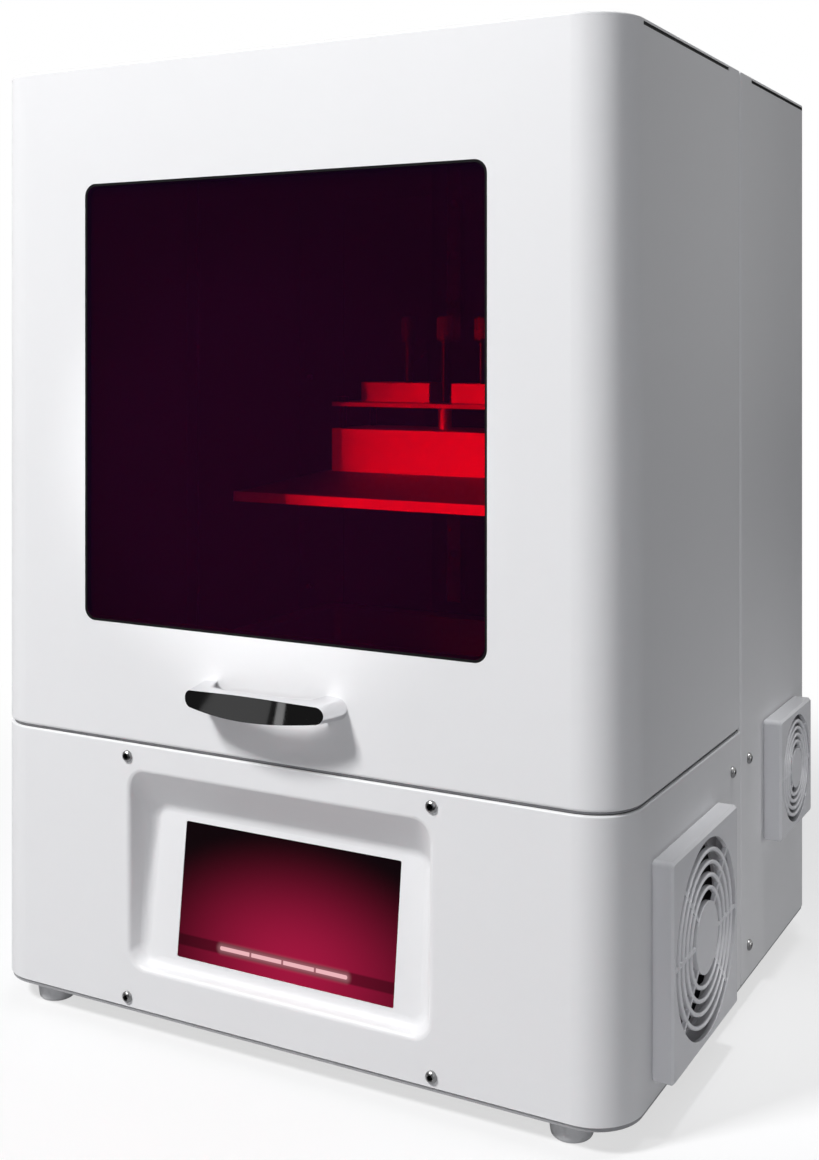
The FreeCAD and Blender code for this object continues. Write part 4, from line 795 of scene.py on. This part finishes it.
# %% Assign finishes
finishes = {
    "case_white": case_paint,
    "plate_grey": plate_paint,
    "foot_rubber": foot_rubber,
    "screw_steel": screw_metal,
    "bracket_steel": bracket_metal,
    "display_glass": display_picture,
    "deck_black": deck_paint,
    "screen_glass": dark_screen,
    "housing_black": housing_plastic,
    "lens_clear": light_lens,
    "board_green": circuit_board,
    "sink_aluminium": sink_metal,
    "seal_black": seal_rubber,
    "inlet_black": inlet_plastic,
    "rocker_black": rocker_plastic,
    "supply_metal": supply_metal,
    "cover_plastic": cover_plastic,
    "fan_black": fan_plastic,
    "window_red": window_acrylic,
    "handle_chrome": handle_chrome,
    "hinge_steel": hinge_metal,
    "vat_metal": vat_metal,
    "film_clear": release_film,
    "platform_aluminium": platform_metal,
    "rail_steel": rail_metal,
    "nut_brass": nut_brass,
    "knob_metal": knob_metal,
    "column_metal": column_black,
    "motor_black": motor_paint,
}
# These nodes take the powder coat with painted shade on the chamber side.
inner_shade_nodes = ("hood_shell", "hood_top", "rear_body", "rear_top", "rear_panel")
own_finish = {
    **{name: inner_shade_paint for name in inner_shade_nodes},
    "hood_seals": foam_and_seal,
    "carriage_plate": column_black,
    "platform_arm": arm_metal,
    "clamp_blocks": clamp_metal,
    "build_plate": plate_metal,
    "z_carriages": blackened_steel,
    "levelling_bolts": blackened_steel,
}

for name, part in frame["nodes"].items():
    material = own_finish.get(name, finishes[slot_of[name]])
    part.data.materials.clear()
    part.data.materials.append(material)
print("finished nodes:", len(frame["nodes"]))

# %% [markdown]
# ## Growing small parts with Geometry Nodes
# Screws, ridges and threads repeat by a rule, so a node tree grows them: change one input and all of them
# follow. Every tree ends by realising its instances and setting the material. The result is then turned
# into a plain mesh that rides on one body of the machine.

# %% Geometry Nodes helpers
smooth_angle = math.radians(40)


def geometry_tree(name, inputs):
    tree = bpy.data.node_groups.new(name, "GeometryNodeTree")
    tree.is_modifier = True
    tree.interface.new_socket("Geometry", in_out="OUTPUT", socket_type="NodeSocketGeometry")
    tree.interface.new_socket("Geometry", in_out="INPUT", socket_type="NodeSocketGeometry")
    for label, kind in inputs:
        tree.interface.new_socket(label, in_out="INPUT", socket_type=kind)
    return tree, add(tree, "NodeGroupInput").outputs


def end_tree(tree, geometry, finish):
    solid = add(tree, "GeometryNodeRealizeInstances", {"Geometry": geometry}).outputs[0]
    painted = add(tree, "GeometryNodeSetMaterial", {"Geometry": solid, "Material": finish}).outputs[0]
    add(tree, "NodeGroupOutput", {"Geometry": painted})


def smooth(mesh):
    mesh.polygons.foreach_set("use_smooth", [True] * len(mesh.polygons))
    mesh.set_sharp_from_angle(angle=smooth_angle)


def grow(name, tree, settings, body, places=()):
    mesh = bpy.data.meshes.new(name)
    mesh.from_pydata([spot for spot, _ in places], [], [])
    facing = mesh.attributes.new("facing", "FLOAT_VECTOR", "POINT")
    for index, (_, direction) in enumerate(places):
        facing.data[index].vector = direction
    piece = bpy.data.objects.new(name, mesh)
    bpy.context.scene.collection.objects.link(piece)
    modifier = piece.modifiers.new("grow", "NODES")
    modifier.node_group = tree
    for item in tree.interface.items_tree:
        if item.in_out == "INPUT" and item.name in settings:
            modifier[item.identifier] = settings[item.name]
    bpy.context.view_layer.update()
    grown = bpy.data.meshes.new_from_object(piece.evaluated_get(bpy.context.evaluated_depsgraph_get()))
    piece.modifiers.clear()
    piece.data = grown
    smooth(grown)
    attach(piece, body)
    print(name, len(grown.polygons), "faces on", body)
    return piece


print("edges are smooth below", round(math.degrees(smooth_angle)), "degrees")

# %% Mesh helpers
same_corner_digits = 6


def ring_stack(rings):
    # Joins equal rings of points into one closed skin.
    skin = bmesh.new()
    rows = [[skin.verts.new(point) for point in ring] for ring in rings]
    count = len(rings[0])
    for low, high in zip(rows, rows[1:]):
        for i in range(count):
            j = (i + 1) % count
            skin.faces.new((low[i], low[j], high[j], high[i]))
    skin.faces.new(rows[0][::-1])
    skin.faces.new(rows[-1])
    bmesh.ops.recalc_face_normals(skin, faces=skin.faces)
    return skin


def to_object(name, skin):
    mesh = bpy.data.meshes.new(name)
    skin.to_mesh(mesh)
    skin.free()
    made = bpy.data.objects.new(name, mesh)
    bpy.context.scene.collection.objects.link(made)
    return made


def solids_of(node):
    # Boxes of the separate solids in one node, found by walking over shared corners.
    mesh = frame["nodes"][node].data
    spots = {}
    number = []
    for corner in mesh.vertices:
        spot = tuple(round(value, same_corner_digits) for value in corner.co)
        number.append(spots.setdefault(spot, len(spots)))
    root = list(range(len(spots)))

    def find(i):
        while root[i] != i:
            root[i] = root[root[i]]
            i = root[i]
        return i

    for polygon in mesh.polygons:
        for corner in polygon.vertices[1:]:
            root[find(number[corner])] = find(number[polygon.vertices[0]])
    groups = {}
    for spot, i in spots.items():
        groups.setdefault(find(i), []).append(spot)
    boxes = []
    for group in groups.values():
        sides = list(zip(*group))
        boxes.append((Vector(map(min, sides)), Vector(map(max, sides))))
    return boxes


print("hinge leaves:", len(solids_of("rear_hinge_leaves")), "rails:", len(solids_of("z_rails")))

# %% [markdown]
# ## Case screws, hinge screws and rail plugs
# The case is held by button heads with hex sockets, and each hinge leaf by three lower ones. Linear rails
# are bolted down through a row of counterbored holes, closed with flush plugs so that nothing scrapes the
# carriages. One tree sets them all: it puts a copy of a turned template on every point and aims it along
# the point's facing.

# %% Set on places
head_sides = 30
dome_steps = (0.0, 0.3, 0.6, 1.0)
dome_sweep = math.radians(70)
dome_flat = 0.45
dome_foot = 0.25
dome_rise = 0.7
rim_share = 0.56
socket_share = 0.54
socket_floor_share = 0.50
socket_floor_height = 0.3


def places_tree():
    tree, given = geometry_tree(
        "set_on_places", [("Template", "NodeSocketObject"), ("Finish", "NodeSocketMaterial")]
    )
    template = add(tree, "GeometryNodeObjectInfo", {"Object": given["Template"]}).outputs["Geometry"]
    facing = add(tree, "GeometryNodeInputNamedAttribute", {"Name": "facing"}, data_type="FLOAT_VECTOR")
    aim = add(tree, "FunctionNodeAlignRotationToVector", {"Vector": facing.outputs[0]}, axis="Z")
    copies = add(
        tree,
        "GeometryNodeInstanceOnPoints",
        {"Points": given["Geometry"], "Instance": template, "Rotation": aim.outputs[0]},
    )
    end_tree(tree, copies.outputs[0], given["Finish"])
    return tree


def circle(radius, height):
    points = []
    for i in range(head_sides):
        angle = 2 * math.pi * i / head_sides
        points.append((radius * math.cos(angle), radius * math.sin(angle), height))
    return points


def hexagon(radius, height):
    points = []
    for i in range(head_sides):
        angle = 2 * math.pi * i / head_sides
        reach = radius * math.cos(math.pi / 6) / math.cos(angle % (math.pi / 3) - math.pi / 6)
        points.append((reach * math.cos(angle), reach * math.sin(angle), height))
    return points


def socket_head(name, radius, height, shank_radius, shank_length):
    # Rings from the end of the shank, up over the dome and down to the floor of the socket.
    rings = [circle(shank_radius, -shank_length), circle(shank_radius, 0.0), circle(radius, 0.0)]
    for step in dome_steps:
        angle = step * dome_sweep
        reach = radius * (dome_flat + (1 - dome_flat) * math.cos(angle))
        rings.append(circle(reach, height * (dome_foot + dome_rise * math.sin(angle))))
    rings.append(circle(rim_share * radius, height))
    rings.append(hexagon(socket_share * radius, height))
    rings.append(hexagon(socket_floor_share * radius, socket_floor_height * height))
    head = to_object(name, ring_stack(rings))
    socket = head.data.attributes.new("socket", "FLOAT", "POINT")
    for index in range(len(rings[-1])):
        socket.data[-1 - index].value = 1.0
    return head


set_on_places = places_tree()
print("tree:", set_on_places.name)

# %% Screws and plugs
case_head_radius = 0.0036
case_head_height = 0.00219
case_shank_length = 0.008
low_head_radius = 0.0034
low_head_height = 0.0016
low_shank_length = 0.001
shank_radius = 0.002
plug_radius = 0.0032
plug_face_radius = 0.9 * plug_radius
plug_rise = 0.00003
plug_pitch = 0.04
leaf_thickness = 0.002
leaf_screw_shares = (0.15, 0.5, 0.85)
screw_from_edge = 0.009
upward = Vector((0, 0, 1))
forward = Vector((0, -1, 0))


def case_screws():
    # A case screw's box is longest along its axis, and its head is the end away from the machine's middle.
    places = []
    for low, high in solids_of("case_screws"):
        size = high - low
        axis = max(range(3), key=lambda i: size[i])
        seat = (low + high) / 2
        facing = Vector((0, 0, 0))
        facing[axis] = math.copysign(1.0, seat[axis])
        outer = high[axis] if facing[axis] > 0 else low[axis]
        seat[axis] = outer - facing[axis] * case_head_height
        places.append((seat, facing))
    return places


def leaf_screws(node, edge):
    places = []
    for low, high in solids_of(node):
        y = low.y + screw_from_edge if edge == "front" else high.y - screw_from_edge
        for share in leaf_screw_shares:
            places.append(((low.x + share * (high.x - low.x), y, low.z + leaf_thickness), upward))
    return places


def plug_places():
    places = []
    for low, high in solids_of("z_rails"):
        count = int((high.z - low.z) / plug_pitch)
        start = (low.z + high.z - (count - 1) * plug_pitch) / 2
        for index in range(count):
            places.append((((low.x + high.x) / 2, low.y, start + index * plug_pitch), forward))
    return places


case_head = socket_head("case_head", case_head_radius, case_head_height, shank_radius, case_shank_length)
low_head = socket_head("low_head", low_head_radius, low_head_height, shank_radius, low_shank_length)
plug_rings = [circle(plug_radius, -plug_rise), circle(plug_radius, 0.0), circle(plug_face_radius, plug_rise)]
rail_plug = to_object("rail_plug", ring_stack(plug_rings))

case_settings = {"Template": case_head, "Finish": screw_metal}
heads = grow("case_screw_heads", set_on_places, case_settings, "base", case_screws())
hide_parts("case_screws")
leaf_settings = {"Template": low_head, "Finish": screw_metal}
for leaf, edge, body in (("hood", "front", "hood"), ("rear", "back", "base")):
    places = leaf_screws(leaf + "_hinge_leaves", edge)
    grow(leaf + "_leaf_screws", set_on_places, leaf_settings, body, places)
plug_settings = {"Template": rail_plug, "Finish": inlet_plastic}
grow("rail_plugs", set_on_places, plug_settings, "base", plug_places())
for template in (case_head, low_head, rail_plug):
    bpy.data.objects.remove(template)

# %% [markdown]
# ## Lead screw thread
# A lead screw for a printer has four thread starts: one turn lifts the nut by four pitches, here 8 mm. A
# spiral curve with a small rectangular section makes one start, and the other starts are copies of it,
# turned by equal parts of a circle round a plain core.

# %% Thread
spiral_steps = 20
core_sides = 40
ridge_root = 0.96
lead = 0.008
starts = 4
core_radius = 0.0042
crest_gap = 0.00005
ridge_height = 0.001


def thread_tree():
    tree, given = geometry_tree(
        "four_start_thread",
        [
            ("Foot", "NodeSocketVector"),
            ("Length", "NodeSocketFloat"),
            ("Turns", "NodeSocketFloat"),
            ("Starts", "NodeSocketInt"),
            ("Core", "NodeSocketFloat"),
            ("Crest", "NodeSocketFloat"),
            ("Ridge", "NodeSocketFloat"),
            ("Finish", "NodeSocketMaterial"),
        ],
    )
    height = calc(tree, "SUBTRACT", given["Length"], given["Ridge"])
    inside = calc(tree, "MULTIPLY", given["Core"], ridge_root)
    depth = calc(tree, "SUBTRACT", given["Crest"], inside)
    path_radius = calc(tree, "DIVIDE", calc(tree, "ADD", given["Crest"], inside), 2.0)
    spiral = add(
        tree,
        "GeometryNodeCurveSpiral",
        {
            "Resolution": spiral_steps,
            "Rotations": given["Turns"],
            "Start Radius": path_radius,
            "End Radius": path_radius,
            "Height": height,
        },
    )
    level = add(tree, "GeometryNodeSetCurveNormal", {"Curve": spiral.outputs[0]}, mode="Z_UP")
    section = add(tree, "GeometryNodeCurvePrimitiveQuadrilateral", {"Width": depth, "Height": given["Ridge"]})
    ridge = add(
        tree,
        "GeometryNodeCurveToMesh",
        {"Curve": level.outputs[0], "Profile Curve": section.outputs[0], "Fill Caps": True},
    )
    points = add(tree, "GeometryNodeMeshLine", {"Count": given["Starts"], "Offset": (0, 0, 0)})
    part = calc(tree, "DIVIDE", 2 * math.pi, given["Starts"])
    turn = calc(tree, "MULTIPLY", add(tree, "GeometryNodeInputIndex").outputs[0], part)
    euler = add(tree, "ShaderNodeCombineXYZ", {"Z": turn}).outputs[0]
    turned = add(tree, "FunctionNodeEulerToRotation", {0: euler}).outputs[0]
    ridges = add(
        tree,
        "GeometryNodeInstanceOnPoints",
        {"Points": points.outputs[0], "Instance": ridge.outputs[0], "Rotation": turned},
    )
    lift = add(tree, "ShaderNodeCombineXYZ", {"Z": calc(tree, "DIVIDE", given["Ridge"], 2.0)}).outputs[0]
    lifted = add(tree, "GeometryNodeTransform", {"Geometry": ridges.outputs[0], "Translation": lift})
    core = add(
        tree,
        "GeometryNodeMeshCylinder",
        {"Vertices": core_sides, "Radius": given["Core"], "Depth": given["Length"]},
    )
    rise = add(tree, "ShaderNodeCombineXYZ", {"Z": calc(tree, "DIVIDE", given["Length"], 2.0)}).outputs[0]
    raised = add(tree, "GeometryNodeTransform", {"Geometry": core.outputs[0], "Translation": rise})
    both = add(tree, "GeometryNodeJoinGeometry")
    tree.links.new(lifted.outputs[0], both.inputs[0])
    tree.links.new(raised.outputs[0], both.inputs[0])
    placed = add(tree, "GeometryNodeTransform", {"Geometry": both.outputs[0], "Translation": given["Foot"]})
    end_tree(tree, placed.outputs[0], given["Finish"])
    return tree


screw_low, screw_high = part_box("lead_screw")
screw_middle = (screw_low + screw_high) / 2
screw_length = screw_high.z - screw_low.z
thread_settings = {
    "Foot": (screw_middle.x, screw_middle.y, screw_low.z),
    "Length": screw_length,
    "Turns": screw_length / lead,
    "Starts": starts,
    "Core": core_radius,
    "Crest": (screw_high.x - screw_low.x) / 2 - crest_gap,
    "Ridge": ridge_height,
    "Finish": rail_metal,
}
thread = grow("lead_screw_thread", thread_tree(), thread_settings, "screw")
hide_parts("lead_screw")

# %% [markdown]
# ## Knurled knobs
# Fingers slip on a plain cylinder, so turned knobs are knurled. A straight knurl is a ring of fine upright
# ridges: the tree puts slim prisms on the points of a circle.

# %% Knurls
knob_head = 0.019
knurl_margin = 0.002
knurl_ridge = 0.0003
knurl_ridges = 40
ridge_sides = 6


def knurl_tree():
    tree, given = geometry_tree(
        "straight_knurl",
        [
            ("Middle", "NodeSocketVector"),
            ("Radius", "NodeSocketFloat"),
            ("Height", "NodeSocketFloat"),
            ("Ridges", "NodeSocketInt"),
            ("Ridge Radius", "NodeSocketFloat"),
            ("Finish", "NodeSocketMaterial"),
        ],
    )
    ring = add(tree, "GeometryNodeMeshCircle", {"Vertices": given["Ridges"], "Radius": given["Radius"]})
    ridge = add(
        tree,
        "GeometryNodeMeshCylinder",
        {"Vertices": ridge_sides, "Radius": given["Ridge Radius"], "Depth": given["Height"]},
    )
    ridges = add(
        tree, "GeometryNodeInstanceOnPoints", {"Points": ring.outputs[0], "Instance": ridge.outputs[0]}
    )
    move = {"Geometry": ridges.outputs[0], "Translation": given["Middle"]}
    placed = add(tree, "GeometryNodeTransform", move)
    end_tree(tree, placed.outputs[0], given["Finish"])
    return tree


straight_knurl = knurl_tree()
for side in ("left", "centre", "right"):
    low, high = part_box(side + "_knob")
    middle = (low + high) / 2
    settings = {
        "Middle": (middle.x, middle.y, high.z - knob_head / 2),
        "Radius": (high.x - low.x) / 2 - knurl_ridge / 2,
        "Height": knob_head - 2 * knurl_margin,
        "Ridges": knurl_ridges,
        "Ridge Radius": knurl_ridge,
        "Finish": knob_metal,
    }
    grow(side + "_knob_knurl", straight_knurl, settings, "knob_" + side)

# %% [markdown]
# ## Sockets at the back
# The mains socket has three blades in its cavity, and each port on the board has a metal shell round a
# dark mouth with a contact tongue. They are few and each has its own place, so they are built directly
# as stacks of rounded rectangles that run along Y.

# %% Slabs
corner_steps = 4


def slab_ring(x, z, width, height, corner, y):
    points = []
    for turn, (sx, sz) in enumerate(((1, 1), (-1, 1), (-1, -1), (1, -1))):
        cx = x + sx * (width / 2 - corner)
        cz = z + sz * (height / 2 - corner)
        for step in range(corner_steps):
            angle = math.pi / 2 * (turn + step / (corner_steps - 1))
            points.append((cx + corner * math.cos(angle), y, cz + corner * math.sin(angle)))
    return points


def slab(place, rows):
    # Each row gives a width, a height, a corner radius and a place along Y.
    return ring_stack([slab_ring(*place, *row) for row in rows])


def joined(name, skins, material, body):
    whole = bpy.data.meshes.new(name)
    gathered = bmesh.new()
    for skin in skins:
        skin.to_mesh(whole)
        skin.free()
        gathered.from_mesh(whole)
    gathered.to_mesh(whole)
    gathered.free()
    whole.materials.append(material)
    smooth(whole)
    piece = bpy.data.objects.new(name, whole)
    bpy.context.scene.collection.objects.link(piece)
    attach(piece, body)
    print(name, len(whole.polygons), "faces on", body)


print("points in a slab's ring:", 4 * corner_steps)

# %% Blades of the mains socket
inlet_low, inlet_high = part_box("power_inlet")
inlet_middle = (inlet_low + inlet_high) / 2
socket_drop = 0.0135
socket_depth = 0.016
blade_places = ((0.0, 0.0035), (-0.007, -0.0025), (0.007, -0.0025))
blade_width = 0.002
blade_height = 0.0042
blade_corner = 0.0004
blade_end = 0.004
tip_width = 0.6 * blade_width
tip_height = 0.8 * blade_height
tip_corner = 0.0003
tip_length = 0.001

foot = inlet_high.y - socket_depth
tip = inlet_high.y - blade_end
blade_rows = [
    (blade_width, blade_height, blade_corner, foot),
    (blade_width, blade_height, blade_corner, tip - tip_length),
    (tip_width, tip_height, tip_corner, tip),
]
blades = []
for x, z in blade_places:
    blades.append(slab((inlet_middle.x + x, inlet_middle.z - socket_drop + z), blade_rows))
joined("inlet_blades", blades, screw_metal, "base")

# %% Data ports
board_low, board_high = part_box("main_board")
port_count = 3
port_width = 0.016
port_height = 0.014
port_spacing = 0.026
port_clearance = 0.0005
shell_rise = 0.0002
shell_corner = 0.0010
shell_wall = 0.0007
shell_taper = 0.0001
shell_inner_corner = 0.0006
mouth_inset = 0.0015
mouth_corner = 0.0005
tongue_inset = 0.0030
tongue_height = 0.0018
tongue_corner = 0.0005
tongue_bevel = 0.0003
tongue_tip_corner = 0.0004

face = board_high.y
tongue_width = port_width - 2 * tongue_inset


def port_row(inset, corner, y):
    return (port_width - 2 * inset, port_height - 2 * inset, corner, y)


shell_rows = [
    port_row(port_clearance, shell_corner, face - shell_rise),
    port_row(port_clearance, shell_corner, face + shell_rise),
    port_row(port_clearance + shell_wall, shell_inner_corner, face + shell_rise),
    port_row(port_clearance + shell_wall + shell_taper, shell_inner_corner, face - shell_rise / 2),
]
mouth_rows = [
    port_row(mouth_inset, mouth_corner, face - shell_rise),
    port_row(mouth_inset, mouth_corner, face + shell_rise / 4),
]
tongue_tip = (tongue_width - 2 * tongue_bevel, tongue_height - 2 * tongue_bevel, tongue_tip_corner)
tongue_rows = [
    (tongue_width, tongue_height, tongue_corner, face - shell_rise),
    (tongue_width, tongue_height, tongue_corner, face + shell_rise / 2),
    (*tongue_tip, face + 0.75 * shell_rise),
]
port_places = []
for index in range(port_count):
    middle_x = board_low.x + port_spacing * (index + 1) - port_width / 2
    port_places.append((middle_x, board_high.z - port_height / 2))
port_pieces = (
    ("port_shells", shell_rows, screw_metal, "screw_steel"),
    ("port_mouths", mouth_rows, inlet_plastic, "inlet_black"),
    ("port_tongues", tongue_rows, nut_brass, "nut_brass"),
)
for name, rows, material, slot in port_pieces:
    joined(name, [slab(place, rows) for place in port_places], material, "base")
